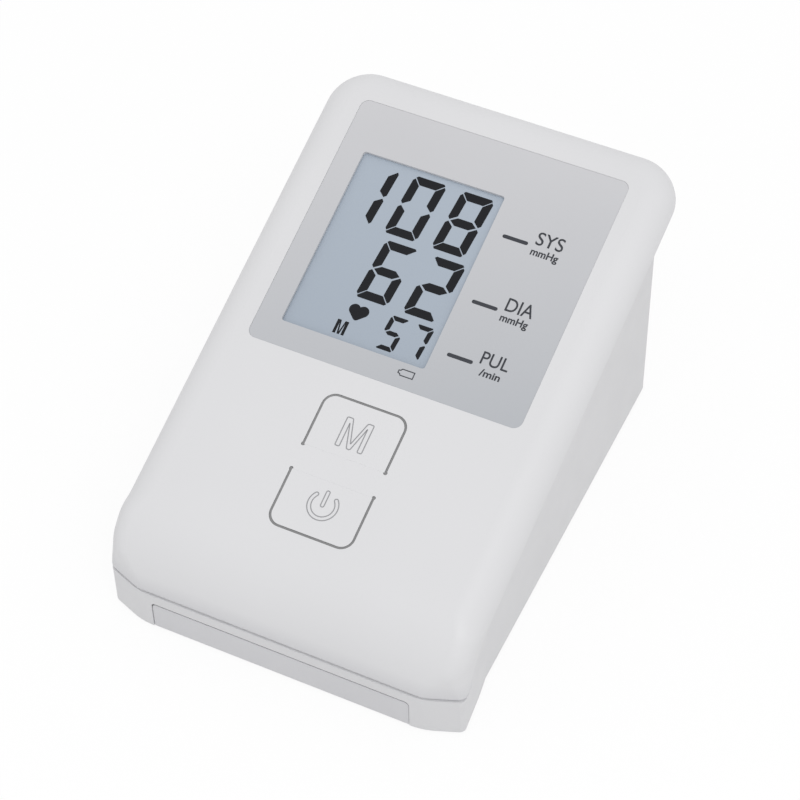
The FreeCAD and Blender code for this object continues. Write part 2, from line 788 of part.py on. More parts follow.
def make_cover():
    form = cover_form("cover_outer", "0", "0")
    outer = round_edges("cover_eased", form, pick_low, "0", "d.low_edge_round")
    hollow = cover_form("cover_hollow", "d.cover_wall", "d.hollow_drop", "inner_")
    bosses = [face_rod("board_boss_%d" % i, x, y, "k.board_face", "0", "d.board_boss_radius")
              for i, (x, y) in enumerate(board_screw_spots())]
    bosses += [face_rod("rear_boss_%d" % i, x, "k.case_rear_y", "-(d.skirt_depth - d.ledge_thickness)", "0",
                        "d.case_boss_radius")
               for i, x in enumerate(("-k.case_rear_x", "k.case_rear_x"))]
    bosses += front_screw_post("front_boss", "d.case_boss_radius", "0", "2 * k.face_z")
    shell = cut("cover_shell", outer, cut("cover_cavity", hollow, *bosses))
    recess_bottom = "-(d.panel_thickness + d.panel_sink)"
    above = "d.cover_wall"
    tools = [
        face_plate("panel_recess", rectangle("0", "0", "k.panel_width + 2 * d.panel_gap",
                                             "k.panel_height + 2 * d.panel_gap",
                                             "(d.panel_round + d.panel_gap)"), recess_bottom, above),
        face_plate("glass_opening", rectangle("k.window_x", "k.window_y",
                                              "k.window_width + 2 * d.glass_margin + 2 * d.panel_gap",
                                              "k.window_height + 2 * d.glass_margin + 2 * d.panel_gap"),
                   "-2 * d.cover_wall", above)]
    for name, (root, way) in KEYS.items():
        tools.append(face_plate(name + "_opening", key_outline(root, way, "d.slot_width", "0"),
                                "-2 * d.cover_wall", above))
        for side in ("-", ""):
            x = "%s(d.key_width / 2 + d.slot_width / 2)" % side
            tools.append(face_rod("%s_slot_end_%s" % (name, "left" if side else "right"), x, root,
                                  "-2 * d.cover_wall", above, "d.slot_end_radius"))
    pilot_top = "-(d.cover_wall)"
    for i, (x, y) in enumerate(board_screw_spots()):
        tools.append(face_rod("board_pilot_%d" % i, x, y, "-(d.board_depth + d.overcut)", pilot_top,
                              "d.board_pilot_radius"))
    for i, x in enumerate(("-k.case_rear_x", "k.case_rear_x")):
        tools.append(face_rod("rear_pilot_%d" % i, x, "k.case_rear_y", "-d.skirt_depth", "-d.pilot_cap",
                              "d.case_pilot_radius"))
    tools += front_screw_post("front_pilot", "d.case_pilot_radius", "0",
                              "d.case_front_seat + d.case_front_length + d.pilot_room")
    return finish(cut("cover", shell, *tools), "front_cover")




def both_sides(x):
    return (("left", "-(%s)" % x), ("right", x))


def extrude_front(name, outline, front, back):
    """Extrude an outline of the front view between two depths."""
    view = doc.addObject("Sketcher::SketchObject", name + "_view")
    view.Placement = Placement(Vector(), Rotation(Vector(1, 0, 0), 90))
    draw(view, *outline)
    place(view, 0, back, 0)
    solid = doc.addObject("Part::Extrusion", name)
    solid.Base = view
    solid.DirMode = "Normal"
    solid.Solid = True
    bind(solid, LengthFwd="(%s) - (%s)" % (back, front), LengthRev=0)
    return solid


def lip_outline(grow, rise):
    """The front view of the battery door's lip, square below and rounded at its upper corners."""
    half = "(k.door_half + %s)" % grow
    top = "(d.floor_lift + d.lip_height + %s)" % rise
    radius = "(d.lip_round + %s)" % grow
    low = "d.floor_lift" if grow == "0" else "0"
    side, level = "(%s - %s)" % (half, radius), "(%s - %s)" % (top, radius)
    corners = [("-" + half, low), (half, low), (half, level), (side, top), ("-" + side, top),
               ("-" + half, level)]
    return corners, {2: (side, level, radius, 1), 4: ("-" + side, level, radius, 1)}


def base_inner_form():
    """The base inside the cover's skirt, with the ledge that closes the rear overhang."""
    inset = "k.cover_inset"
    top = "(d.skirt_depth - d.ledge_thickness)"
    radius = "(d.roll_radius - %s)" % top
    front = "(k.front + %s)" % inset
    lip_back = "(%s + d.base_wall)" % front
    lip_top = "(k.roll_z + d.front_lip)"
    rear = "k.face_rear - %s" % inset
    rise = "((k.rear_wall - k.face_y) * k.sin_slope - d.skirt_depth)"
    under = "(k.face_z + %s / k.cos_slope)" % rise
    corners = [(front, "d.floor_lift"), (front, lip_top), (lip_back, lip_top), (lip_back, "k.roll_z"),
               ("(k.roll_y - %s)" % radius, "k.roll_z"),
               ("(k.roll_y - %s * k.sin_slope)" % radius, "(k.roll_z + %s * k.cos_slope)" % radius),
               (face_y(rear, "-" + top), face_z(rear, "-" + top)),
               (face_y(rear, "-d.skirt_depth"), face_z(rear, "-d.skirt_depth")),
               ("k.rear_wall", under), ("k.rear_wall", "d.floor_lift")]
    side = extrude_side("base_side", corners, {4: ("k.roll_y", "k.roll_z", radius, -1)}, "k.base_half")
    plan = extrude_plan("base_plan_block", plan_outline(inset, "d.body_depth"), 0, "2 * k.face_z")
    block = common("base_block", side, plan)
    doc.recompute()
    rear_rounded = round_edges("base_rear_corners", block, pick_rear, inset,
                               "d.rear_corner_round - %s" % inset)
    front_rounded = round_edges("base_front_corners", rear_rounded, pick_front, inset, "d.corner_low_round")
    return round_edges("base_back_corners", front_rounded, pick_back, inset, "d.base_rear_round")


def base_bumper():
    """The front of the base that stands flush with the cover and eases back into the side walls."""
    depth = "(d.skirt_depth + d.parting_gap)"
    radius = "(d.roll_radius - %s)" % depth
    land = "(d.front_height - d.parting_gap)"
    back = "(k.front + d.bumper_length + d.bumper_step)"
    slope_z = "(k.face_z + (%s - k.face_y) * k.sin_slope / k.cos_slope - %s / k.cos_slope)" % (back, depth)
    corners = [("k.front", "d.floor_lift"), ("k.front", land), ("(k.roll_y - %s)" % radius, land),
               ("(k.roll_y - %s)" % radius, "k.roll_z"),
               ("(k.roll_y - %s * k.sin_slope)" % radius, "(k.roll_z + %s * k.cos_slope)" % radius),
               (back, slope_z), (back, "d.floor_lift")]
    side = extrude_side("bumper_side", corners, {3: ("k.roll_y", "k.roll_z", radius, -1)}, "k.half_width")
    ease = "(k.front + d.bumper_length)"
    outline = plan_outline("0", ease)[0]
    outline[3:5] = [("(k.half_width - d.bumper_flare)", ease), ("k.base_half", back),
                    ("-k.base_half", back), ("-(k.half_width - d.bumper_flare)", ease)]
    plan = extrude_plan("bumper_plan_block", (outline, {}), 0, "2 * k.face_z")
    block = common("bumper_block", side, plan)
    doc.recompute()
    corners = round_edges("bumper_corners", block, pick_front, "0", "d.corner_low_round")
    return round_edges("bumper", corners, pick_flank, "0", "d.flank_round")


def bay_block():
    """Walls and roof of the battery bay, with the strips that hold the door's edges down."""
    outer = "(k.bay_half + d.bay_wall)"
    strip = "(k.door_half + d.door_gap + d.rail_cover_margin)"
    span = ("k.lip_back", "k.bay_rear + d.bay_wall")
    return [box("bay_walls", ("-" + outer, outer), span, ("k.floor_top", "k.bay_roof + d.bay_wall")),
            box("bay_strips", ("-" + strip, strip), span, ("k.floor_top", "k.floor_top + d.rail_cover"))]


def pump_cradle():
    return box("pump_cradle", ("k.strap_x - d.strap_width / 2", "k.strap_x + d.strap_width / 2"),
               ("k.pump_y - k.strap_reach", "k.pump_y + k.strap_reach"), ("k.floor_top", "d.pump_z"))


def valve_stand():
    """Two ribs across the floor that carry the valve's yoke."""
    x = ("k.manifold_x - d.valve_width / 2", "k.manifold_x + d.valve_width / 2")
    z = ("k.floor_top", "d.pump_z - d.valve_width / 2")
    return [box("valve_rib_front", x, ("k.valve_start", "k.valve_start + d.stand_wall"), z),
            box("valve_rib_rear", x, ("k.valve_end - d.stand_wall", "k.valve_end"), z)]


def strap_screw_spots():
    reach = "(k.strap_outer + d.strap_foot / 2)"
    return (("near", "k.pump_y - " + reach), ("far", "k.pump_y + " + reach))


def foot_spots():
    for x, y in (("k.foot_front_x", "k.foot_front_y"), ("k.foot_rear_x", "k.foot_rear_y")):
        for side, place_x in both_sides(x):
            yield side, place_x, y


def make_base():
    solid = fuse("base_solid", base_inner_form(), base_bumper())
    room = extrude_plan("base_room", plan_outline("(k.cover_inset + d.base_wall)", "k.inner_rear"),
                        "k.floor_top", "2 * k.face_z")
    posts = [rod("base_post_" + side, "z", (x, "k.case_front_y", "k.floor_top"),
                 "d.case_well_radius + d.case_well_wall", "d.case_front_seat - k.floor_top")
             for side, x in both_sides("k.case_front_x")]
    tray = fuse("base_tray", cut("base_shell", solid, room), *posts, *bay_block(), pump_cradle(),
                *valve_stand())
    opening = "(k.door_half + d.door_gap)"
    narrow = "(%s - d.rail_width)" % opening
    door_back = "k.door_rear + d.door_gap"
    tools = [
        extrude_front("lip_recess", lip_outline("d.door_gap", "d.door_top_gap"), "-d.body_depth", "k.lip_back"),
        box("door_way_low", ("-" + narrow, narrow), ("-d.body_depth", door_back), (0, "k.rail_top")),
        box("door_way_high", ("-" + opening, opening), ("-d.body_depth", door_back),
            ("k.rail_top", "k.floor_top")),
        box("bay_room", ("-k.bay_half", "k.bay_half"), ("k.bay_front", "k.bay_rear"), (0, "k.bay_roof")),
        rod("cradle_bore", "x", ("k.strap_x - d.strap_width", "k.pump_y", "d.pump_z"), "k.strap_inner",
            "2 * d.strap_width"),
        rod("socket_hole", "x", ("-d.body_width", "k.pump_y", "d.pump_z"), "d.socket_radius + d.socket_gap",
            "d.body_width + k.manifold_x")]
    for side, x in both_sides("k.case_front_x"):
        tools.append(rod("screw_well_" + side, "z", (x, "k.case_front_y", 0), "d.case_well_radius",
                         "k.well_top"))
        tools.append(rod("screw_way_" + side, "z", (x, "k.case_front_y", 0), "d.case_hole_radius",
                         "d.case_front_seat + d.overcut"))
    for side, x in both_sides("k.case_rear_x"):
        tools.append(face_rod("ledge_hole_" + side, x, "k.case_rear_y", "-2 * d.skirt_depth", "0",
                              "d.case_hole_radius"))
    for side, y in strap_screw_spots():
        tools.append(rod("strap_pilot_" + side, "z", ("k.strap_x", y, "d.pump_z - d.strap_screw_length"),
                         "d.strap_screw_radius + d.soft_gap / 2", "d.strap_screw_length + d.overcut"))
    for i, (_, x, y) in enumerate(foot_spots()):
        tools.append(rod("foot_pocket_%d" % i, "z", (x, y, 0), "d.foot_radius + d.foot_gap",
                         "d.floor_lift + d.foot_pocket"))
    return finish(cut("base", tray, *tools), "base_housing")


# Battery door and cells ------------------------------------------------------------------------

GRIPS = range(3, 8)


def make_door():
    low = "(k.door_half - d.rail_width)"
    tongue = "(k.rail_top + d.rail_gap)"
    lip = extrude_front("door_lip", lip_outline("0", "0"), "k.door_front", "k.door_front + d.lip_thickness")
    plate = box("door_plate", ("-" + low, low), ("k.door_front", "k.door_rear"), ("d.floor_lift", tongue))
    tongues = box("door_tongues", ("-k.door_half", "k.door_half"), ("k.door_front", "k.door_rear"),
                  (tongue, "k.door_top"))
    grooves = []
    for i in GRIPS:
        start = "k.door_front + %d * d.grip_pitch" % i
        grooves.append(box("grip_%d" % i, ("-d.grip_width / 2", "d.grip_width / 2"),
                           (start, start + " + d.grip_groove"), (0, "d.floor_lift + d.grip_depth")))
    return finish(cut("door", fuse("door_blank", lip, plate, tongues), *grooves), "battery_door")


def cell_x(i):
    return "(%s * k.cell_pitch)" % (i - 1.5)


def make_cells():
    """Four cells side by side, each the other way round from its neighbour."""
    for i in range(4):
        flat = "(d.contact_thickness + d.contact_gap)"
        reach = "(%s + d.cell_nub_length)" % flat
        if i % 2:
            start, nub = "(k.bay_front + %s)" % reach, "(k.bay_front + %s)" % flat
        else:
            start = "(k.bay_rear - %s - d.cell_length)" % reach
            nub = "(%s + d.cell_length)" % start
        can = rod("cell_can_%d" % i, "y", (cell_x(i), start, "k.cell_z"), "d.cell_radius", "d.cell_length")
        tip = rod("cell_tip_%d" % i, "y", (cell_x(i), nub, "k.cell_z"), "d.cell_nub_radius",
                  "d.cell_nub_length")
        finish(fuse("cell_%d" % i, can, tip), "battery_cell_%d" % (i + 1))


def contact_plate(name, i, wall, way):
    """A contact plate against one end wall of the bay."""
    edges = sorted((wall, "%s + %d * d.contact_thickness" % (wall, way)), key=value)
    x = ("%s - d.contact_width / 2" % cell_x(i), "%s + d.contact_width / 2" % cell_x(i))
    z = ("k.cell_z - d.contact_height / 2", "k.cell_z + d.contact_height / 2")
    return box("%s_%d" % (name, i), x, edges, z)


def make_contacts():
    finish(group("contacts_front", *[contact_plate("front_plate", i, "k.bay_front", 1) for i in range(4)]),
           "contact_plates_front")
    finish(group("contacts_rear", *[contact_plate("rear_plate", i, "k.bay_rear", -1) for i in range(4)]),
           "contact_plates_rear")
    springs = [coil_spring(i) for i in range(4)]
    finish(group("springs", *springs), "battery_springs")


def coil_spring(i):
    """A tapered coil of square wire between a contact plate and the flat end of a cell."""
    wire = value("d.spring_wire")
    length = value("d.spring_length") - 2 * wire
    low, high = value("d.spring_radius"), value("d.spring_tip_radius")
    cone = math.degrees(math.atan((high - low) / length))
    path = Part.makeHelix(length / value("d.spring_turns"), length, low, cone)
    square = ((-1, -1), (1, -1), (1, 1), (-1, 1), (-1, -1))
    corners = [Vector(low + x * wire, 0, z * wire) for x, z in square]
    section = Part.makePolygon(corners)
    coil = Part.Wire(path.Edges).makePipeShell([section], True, True)
    front = i % 2 == 0
    start = value("k.bay_front" if front else "k.bay_rear")
    way = 1 if front else -1
    seat = value("d.contact_thickness + d.contact_gap") + wire
    item = doc.addObject("Part::Feature", "spring_%d" % i)
    item.Shape = coil
    item.Placement = Placement(Vector(value(cell_x(i)), start + way * seat, value("k.cell_z")),
                               Rotation(Vector(1, 0, 0), -90 * way))
    return item


# Display ---------------------------------------------------------------------------------------

STRIP_Y = "(k.glass_height / 2 - d.strip_inset - d.strip_width)"
HOLE_W = "(k.glass_width - 2 * d.frame_rim)"
HOLE_H = "(k.glass_height - 2 * d.strip_inset + 2 * d.strip_gap)"


def make_display():
    panel = Moulding("panel")
    panel.pad(rectangle("0", "0", "k.panel_width", "k.panel_height", "d.panel_round"), "k.panel_back",
              "-d.panel_sink")
    window = rectangle("k.window_x", "k.window_y", "k.window_width", "k.window_height", "d.window_round")
    panel.pocket(window, "-d.panel_sink", "d.panel_thickness")
    finish(panel.body, "display_panel", on_face=True)

    glass = Moulding("glass")
    glass.pad(rectangle("k.window_x", "k.window_y", "k.glass_width", "k.glass_height"), "k.glass_back",
              "k.glass_front")
    finish(glass.body, "lcd_glass", on_face=True)

    grown_w = "(k.glass_width + 2 * d.frame_gap + 2 * d.frame_rim)"
    grown_h = "(k.glass_height + 2 * d.frame_gap + 2 * d.frame_rim)"
    frame = Moulding("frame")
    frame.pad(rectangle("k.window_x", "k.window_y", grown_w, grown_h), "k.board_face",
              "-(d.cover_wall + d.glass_gap)")
    frame.pocket(rectangle("k.window_x", "k.window_y", "(k.glass_width + 2 * d.frame_gap)",
                           "(k.glass_height + 2 * d.frame_gap)"), "-(d.cover_wall + d.glass_gap)",
                 "-(d.cover_wall + d.glass_gap) - k.glass_back + d.strip_gap")
    frame.pocket(rectangle("k.window_x", "k.window_y", HOLE_W, HOLE_H), "0", "d.board_depth")
    finish(frame.body, "lcd_frame", on_face=True)

    half = "(%s / 2 - d.frame_gap)" % HOLE_W
    for side, sign in (("lower", -1), ("upper", 1)):
        near = "(k.window_y + %d * %s)" % (sign, STRIP_Y)
        far = "(%s + %d * d.strip_width)" % (near, sign)
        edges = (near, far) if sign > 0 else (far, near)
        strip = box("strip_" + side, ("k.window_x - " + half, "k.window_x + " + half), edges,
                    ("k.board_face", "k.glass_back"))
        finish(group("strip_holder_" + side, strip), "contact_strip_" + side, on_face=True)


# Keys and switches -----------------------------------------------------------------------------



def make_keys():
    for name, (root, way) in KEYS.items():
        blade = extrude_plan(name + "_blade", key_outline(root, way, "0", "d.hinge_gap"),
                             "-d.key_thickness", "0")
        hinge = "(%s + %d * d.hinge_gap)" % (root, way)
        bevel = extrude_side(name + "_bevel", [
            (hinge, "-d.key_thickness"), (hinge, "-d.hinge_depth"),
            ("(%s + %d * d.hinge_bevel)" % (hinge, way), "-d.key_thickness")], {}, "k.half_width")
        spot = "(%s + %d * d.post_reach)" % (root, way)
        post = rod(name + "_post", "z", (0, spot, "k.stem_top + d.press_gap"), "d.post_radius",
                   "-(k.stem_top) - d.press_gap - d.key_thickness")
        finish(fuse(name + "_tongue", cut(name + "_bevelled", blade, bevel), post), name + "_key",
               on_face=True)

        body = Moulding(name + "_switch")
        top = "(k.board_face + d.switch_height)"
        body.pad(rectangle("0", spot, "d.switch_side", "d.switch_side"), "k.board_face", top)
        body.hole("0", spot, "(d.stem_radius + d.stem_gap)", top, "d.stem_well")
        finish(body.body, name + "_switch_body", on_face=True)

        stem = Moulding(name + "_stem")
        stem.pad(circle_outline("0", spot, "d.stem_radius"), "k.stem_top - d.stem_length", "k.stem_top")
        finish(stem.body, name + "_switch_stem", on_face=True)


# Main board and what it carries ----------------------------------------------------------------



def make_board():
    half, tail = "k.board_half", "k.tail_half"
    board = Moulding("board")
    board.pad(([("-" + half, "k.board_bottom"), ("-" + tail, "k.board_bottom"),
                ("-" + tail, "k.face_front"), (tail, "k.face_front"), (tail, "k.board_bottom"),
                (half, "k.board_bottom"),
                (half, "k.board_top"), ("-" + half, "k.board_top")], {}), "k.board_back", "k.board_face")
    for x, y in board_screw_spots():
        board.hole(x, y, "(d.board_pilot_radius + d.soft_gap)", "k.board_face", "d.board_thickness")
    finish(board.body, "main_board", on_face=True)

    chip = Moulding("chip")
    chip.pad(rectangle("0", "0", "d.chip_side", "d.chip_side"), "k.board_back - d.chip_height",
             "k.board_back")
    finish(chip.body, "processor_chip", on_face=True)

    buzzer = Moulding("buzzer")
    x = "(k.board_half - d.buzzer_inset - d.buzzer_radius)"
    top = "(k.board_face + d.buzzer_height)"
    buzzer.pad(circle_outline(x, "0", "d.buzzer_radius"), "k.board_face", top)
    buzzer.hole(x, "0", "d.port_bore", top, "d.buzzer_height / 2")
    finish(buzzer.body, "buzzer", on_face=True)

    sensor = Moulding("sensor")
    sensor.pad(rectangle("k.manifold_x", "k.sensor_y", "d.sensor_side", "d.sensor_side"),
               "k.sensor_back", "k.board_back")
    sensor.pad(circle_outline("k.manifold_x", "k.sensor_y", "d.port_radius"),
               "k.sensor_back - d.port_length", "k.sensor_back")
    sensor.hole("k.manifold_x", "k.sensor_y", "d.port_bore", "k.sensor_back", "d.port_length")
    finish(sensor.body, "pressure_sensor", on_face=True)


# Pump ------------------------------------------------------------------------------------------

def on_axis(name, start, radius, length):
    """A cylinder on the pump's axis."""
    return rod(name, "x", (start, "k.pump_y", "d.pump_z"), radius, length)


def make_pump():
    front = "k.motor_front"
    room = "(d.motor_length - 2 * d.motor_wall)"
    can = cut("motor", on_axis("motor_can", front, "d.motor_radius", "d.motor_length"),
              on_axis("motor_room", front + " + d.motor_wall", "d.motor_radius - d.motor_wall", room),
              on_axis("shaft_way", front + " - d.overcut", "d.shaft_radius + d.shaft_gap",
                      "d.motor_wall + 2 * d.overcut"))
    finish(can, "pump_motor")

    depth = "(d.head_length - d.head_block)"
    spigot = on_axis("head_nipple", "k.head_end - d.nipple_length", "d.nipple_radius",
                     "d.nipple_length + d.head_block / 2")
    drum = on_axis("head_drum", "k.head_end", "d.head_radius", "d.head_length")
    head = cut("head", fuse("head_solid", drum,
                            spigot),
               on_axis("head_room", front + " - " + depth, "d.head_radius - d.head_wall", depth),
               on_axis("head_air_way", "k.head_end - d.nipple_length", "d.nipple_bore",
                       "d.nipple_length + d.head_block"))
    finish(head, "pump_head")

    crank = "(%s - d.motor_wall - d.crank_thickness)" % front
    shaft = on_axis("rotor_shaft", crank, "d.shaft_radius",
                    "d.motor_length - d.motor_wall + d.crank_thickness")
    armature = on_axis("rotor_armature", "%s + (d.motor_length - d.armature_length) / 2" % front,
                       "d.armature_radius", "d.armature_length")
    disc = on_axis("rotor_disc", crank, "d.crank_radius", "d.crank_thickness")
    pin_start = (crank + " - d.crank_pin_length", "k.pump_y", "d.pump_z + d.crank_pin_offset")
    pin = rod("rotor_pin", "x", pin_start, "d.crank_pin_radius",
              "d.crank_pin_length + d.crank_thickness / 2")
    finish(fuse("rotor", shaft, armature, disc, pin), "pump_rotor")

    sleeve_inner = "(d.motor_radius + d.soft_gap)"
    sleeve_start = "k.strap_x - d.sleeve_length / 2"
    finish(cut("sleeve", on_axis("sleeve_outer", sleeve_start, sleeve_inner + " + d.sleeve_thickness",
                                 "d.sleeve_length"),
               on_axis("sleeve_inner", sleeve_start, sleeve_inner, "d.sleeve_length")), "pump_sleeve")

    x = ("k.strap_x - d.strap_width / 2", "k.strap_x + d.strap_width / 2")
    reach = ("k.pump_y - k.strap_reach", "k.pump_y + k.strap_reach")
    arch = fuse("strap_solid", on_axis("strap_ring", x[0], "k.strap_outer", "d.strap_width"),
                box("strap_feet", x, reach, ("d.pump_z", "d.pump_z + d.strap_thickness")))
    keep = box("strap_lower_half", ("0", "d.body_width"), ("0", "d.body_depth"), ("0", "d.pump_z"))
    holes = [rod("strap_hole_" + side, "z", ("k.strap_x", y, "d.pump_z"),
                 "d.strap_screw_radius + d.soft_gap", "d.strap_thickness")
             for side, y in strap_screw_spots()]
    finish(cut("strap", arch, keep, on_axis("strap_bore", x[0], "k.strap_inner", "d.strap_width"), *holes),
           "pump_strap")
    screws = [screw("pump_screw_" + side, "z", ("k.strap_x", y, "d.pump_z + d.strap_thickness"),
                    "d.strap_screw_radius", "d.strap_screw_length - d.overcut", -1)
              for side, y in strap_screw_spots()]
    finish(group("pump_screw_group", *screws), "pump_screws")


def screw(name, axis, seat, radius, length, way):
    """A pan-head screw: its head stands on the seat and its shank runs the given way along Z."""
    head_radius = "(%s * d.head_ratio)" % radius
    head_height = "(%s * d.head_height_ratio)" % radius
    x, y, z = seat
    shank_z = z if way > 0 else "%s - (%s)" % (z, length)
    head_z = z if way < 0 else "%s - %s" % (z, head_height)
    return fuse(name, rod(name + "_shank", axis, (x, y, shank_z), radius, length),
                rod(name + "_head", axis, (x, y, head_z), head_radius, head_height))


def make_screws():
    fronts = [screw("front_screw_" + side, "z", (x, "k.case_front_y", "k.well_top"), "d.case_screw_radius",
                    "d.case_front_length", 1) for side, x in both_sides("k.case_front_x")]
    finish(group("front_screw_group", *fronts), "case_screws_front")
    rears = [screw("rear_screw_" + side, "z", (x, "k.case_rear_y", "-d.skirt_depth"), "d.case_screw_radius",
                   "d.case_rear_length", 1) for side, x in both_sides("k.case_rear_x")]
    finish(group("rear_screw_group", *rears), "case_screws_rear", on_face=True)
    boards = [screw("board_screw_%d" % i, "z", (x, y, "k.board_back"), "d.board_pilot_radius - d.stem_gap",
                    "d.board_screw_length", 1) for i, (x, y) in enumerate(board_screw_spots())]
    finish(group("board_screw_group", *boards), "board_screws", on_face=True)


# Air path --------------------------------------------------------------------------------------

def make_air_path():
    mid = ("k.pump_y", "d.pump_z")
    reach = "(d.manifold_side / 2 + d.nipple_length)"
    half = "d.manifold_side / 2"
    block = box("manifold_block", ("k.manifold_x - " + half, "k.manifold_x + " + half),
                ("k.pump_y - " + half, "k.pump_y + " + half), ("d.pump_z - " + half, "d.pump_z + " + half))
    arms = [rod("manifold_arm_x", "x", ("k.manifold_x",) + mid, "d.nipple_radius", reach),
            rod("manifold_arm_y", "y", ("k.manifold_x", "k.pump_y - " + reach, "d.pump_z"),
                "d.nipple_radius", reach),
            rod("manifold_arm_z", "z", ("k.manifold_x",) + mid, "d.nipple_radius", reach)]
    ways = [rod("manifold_way_x", "x", ("k.socket_inner",) + mid, "d.nipple_bore", "2 * " + reach),
            rod("manifold_way_y", "y", ("k.manifold_x", "k.pump_y - " + reach, "d.pump_z"), "d.nipple_bore",
                reach),
            rod("manifold_way_z", "z", ("k.manifold_x",) + mid, "d.nipple_bore", reach)]
    finish(cut("manifold", fuse("manifold_solid", block, *arms), *ways), "air_manifold")

    barrel = rod("socket_barrel", "x", ("k.socket_outer",) + mid, "d.socket_radius",
                 "k.socket_inner - k.socket_outer")
    flange = rod("socket_collar", "x", ("k.socket_outer",) + mid, "d.socket_flange",
                 "d.socket_flange_thickness")
    bore = rod("socket_bore_tool", "x", ("k.socket_outer",) + mid, "d.socket_bore", "d.socket_depth")
    way = rod("socket_air_way", "x", ("k.socket_outer",) + mid, "d.nipple_bore",
              "k.socket_inner - k.socket_outer")
    finish(cut("socket", fuse("socket_solid", barrel, flange), bore, way), "air_socket")

    inner = "(d.nipple_radius + d.tube_gap)"
    outer = "(%s + d.tube_wall)" % inner
    length = "(d.tube_space - 2 * d.tube_gap)"
    start = "k.manifold_x + %s + d.tube_gap" % half
    finish(cut("pump_tube", rod("pump_tube_outer", "x", (start,) + mid, outer, length),
               rod("pump_tube_inner", "x", (start,) + mid, inner, length)), "tube_to_pump")
    start = ("k.manifold_x", "k.valve_mouth + d.tube_gap", "d.pump_z")
    finish(cut("valve_tube", rod("valve_tube_outer", "y", start, outer, length),
               rod("valve_tube_inner", "y", start, inner, length)), "tube_to_valve")
    finish(sensor_tube(value(inner), value(outer)), "tube_to_sensor")


def sensor_tube(inner, outer):
    """A tube that rises from the manifold and bends once to meet the sensor's slanting port."""
    x = value("k.manifold_x")
    slope = math.radians(value("d.face_slope"))
    bend = Vector(x, value("k.pump_y"), value("d.bend_height"))
    towards = Vector(0, -math.sin(slope), math.cos(slope))
    radius = value("d.bend_radius")
    tangent = radius * math.tan(slope / 2)
    low = Vector(x, bend.y, value("d.pump_z + d.manifold_side / 2 + d.tube_gap"))
    first = bend - Vector(0, 0, tangent)
    second = bend + towards * tangent
    face_middle = Vector(0, value("k.face_y"), value("k.face_z"))
    along = value("k.sensor_back - d.tube_gap") - (bend - face_middle).dot(towards)
    high = bend + towards * along
    centre = first + Vector(0, -radius, 0)
    half = slope / 2
    mid = centre + Vector(0, math.cos(half), math.sin(half)) * radius
    path = Part.Wire([Part.LineSegment(low, first).toShape(), Part.Arc(first, mid, second).toShape(),
                      Part.LineSegment(second, high).toShape()])
    item = doc.addObject("Part::Feature", "sensor_tube")
    pipes = [path.makePipeShell([Part.Wire(Part.makeCircle(r, low, Vector(0, 0, 1)))], True, True)
             for r in (outer, inner)]
    item.Shape = pipes[0].cut(pipes[1])
    return item


# Solenoid valve --------------------------------------------------------------------------------

def make_valve():
    half = "(d.valve_width / 2)"
    x = ("k.manifold_x - " + half, "k.manifold_x + " + half)
    z = ("d.pump_z - " + half, "d.pump_z + " + half)
    start, end = "k.valve_start", "k.valve_end"
    axis = ("k.manifold_x", "d.pump_z")

    def along(name, y, radius, length):
        return rod(name, "y", (axis[0], y, axis[1]), radius, length)

    yoke = fuse("yoke_solid",
                box("yoke_floor", x, (start, end), (z[0], z[0] + " + d.valve_plate")),
                box("yoke_back", x, (start, start + " + d.valve_plate"), z),
                box("yoke_front", x, (end + " - d.valve_plate", end), z))
    finish(cut("yoke", yoke, along("yoke_way", end + " - 2 * d.valve_plate", "d.chamber_radius",
                                   "3 * d.valve_plate")), "valve_yoke")
    coil_length = "(d.valve_length - 2 * d.valve_plate)"
    bore = "(d.plunger_radius + d.plunger_gap)"
    finish(cut("coil", along("coil_outer", start + " + d.valve_plate", "d.coil_radius", coil_length),
               along("coil_inner", start + " + d.valve_plate", bore, coil_length)), "valve_coil")
    nozzle = fuse("nozzle_solid", along("nozzle_drum", end, "d.nozzle_radius", "d.nozzle_length"),
                  along("nozzle_nipple", "k.valve_mouth", "d.nipple_radius", "d.nipple_length"))
    finish(cut("nozzle", nozzle, along("nozzle_room", end, "d.chamber_radius", "d.nozzle_chamber"),
               along("nozzle_way", end, "d.nipple_bore", "d.nozzle_length + d.nipple_length")),
           "valve_nozzle")
    plunger_start = "(%s + d.valve_plate + d.plunger_travel)" % start
    plunger_end = "(%s + d.nozzle_chamber - d.plunger_travel - d.soft_gap)" % end
    finish(along("plunger", plunger_start, "d.plunger_radius", "%s - %s" % (plunger_end, plunger_start)),
           "valve_plunger")


def make_feet():
    for i, (_, x, y) in enumerate(foot_spots()):
        finish(rod("foot_%d" % i, "z", (x, y, 0), "d.foot_radius", "d.floor_lift + d.foot_pocket"),
               "rubber_foot_%d" % (i + 1))


for make in (make_cover, make_base, make_door, make_cells, make_contacts, make_display, make_keys,
             make_board, make_pump, make_screws, make_air_path, make_valve, make_feet):
    make()
doc.recompute()

broken = [item.Label for item in doc.Objects if "Invalid" in item.State or "Error" in item.State]
broken += [item.Label for item in finished if item.Shape.isNull() or not item.Shape.isValid()]
if broken:
    raise RuntimeError("failed objects: " + ", ".join(broken))
os.makedirs("parts", exist_ok=True)
for item in finished:
    item.Shape.exportStep("parts/%s.step" % item.Label)
print("%d sub-parts written" % len(finished))
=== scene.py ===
"""Looks of a desktop upper-arm blood pressure monitor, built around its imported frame.

Metres, +X to the reader's right, +Y to the back, +Z up, with the origin in the middle of the
footprint on the surface that the feet stand on. Marks on the sloping face are laid out in the
face's own frame, in millimetres: across, up the slope and out of it, from the panel's middle.
"""
import math

import bmesh
import bpy
from mathutils import Matrix, Vector


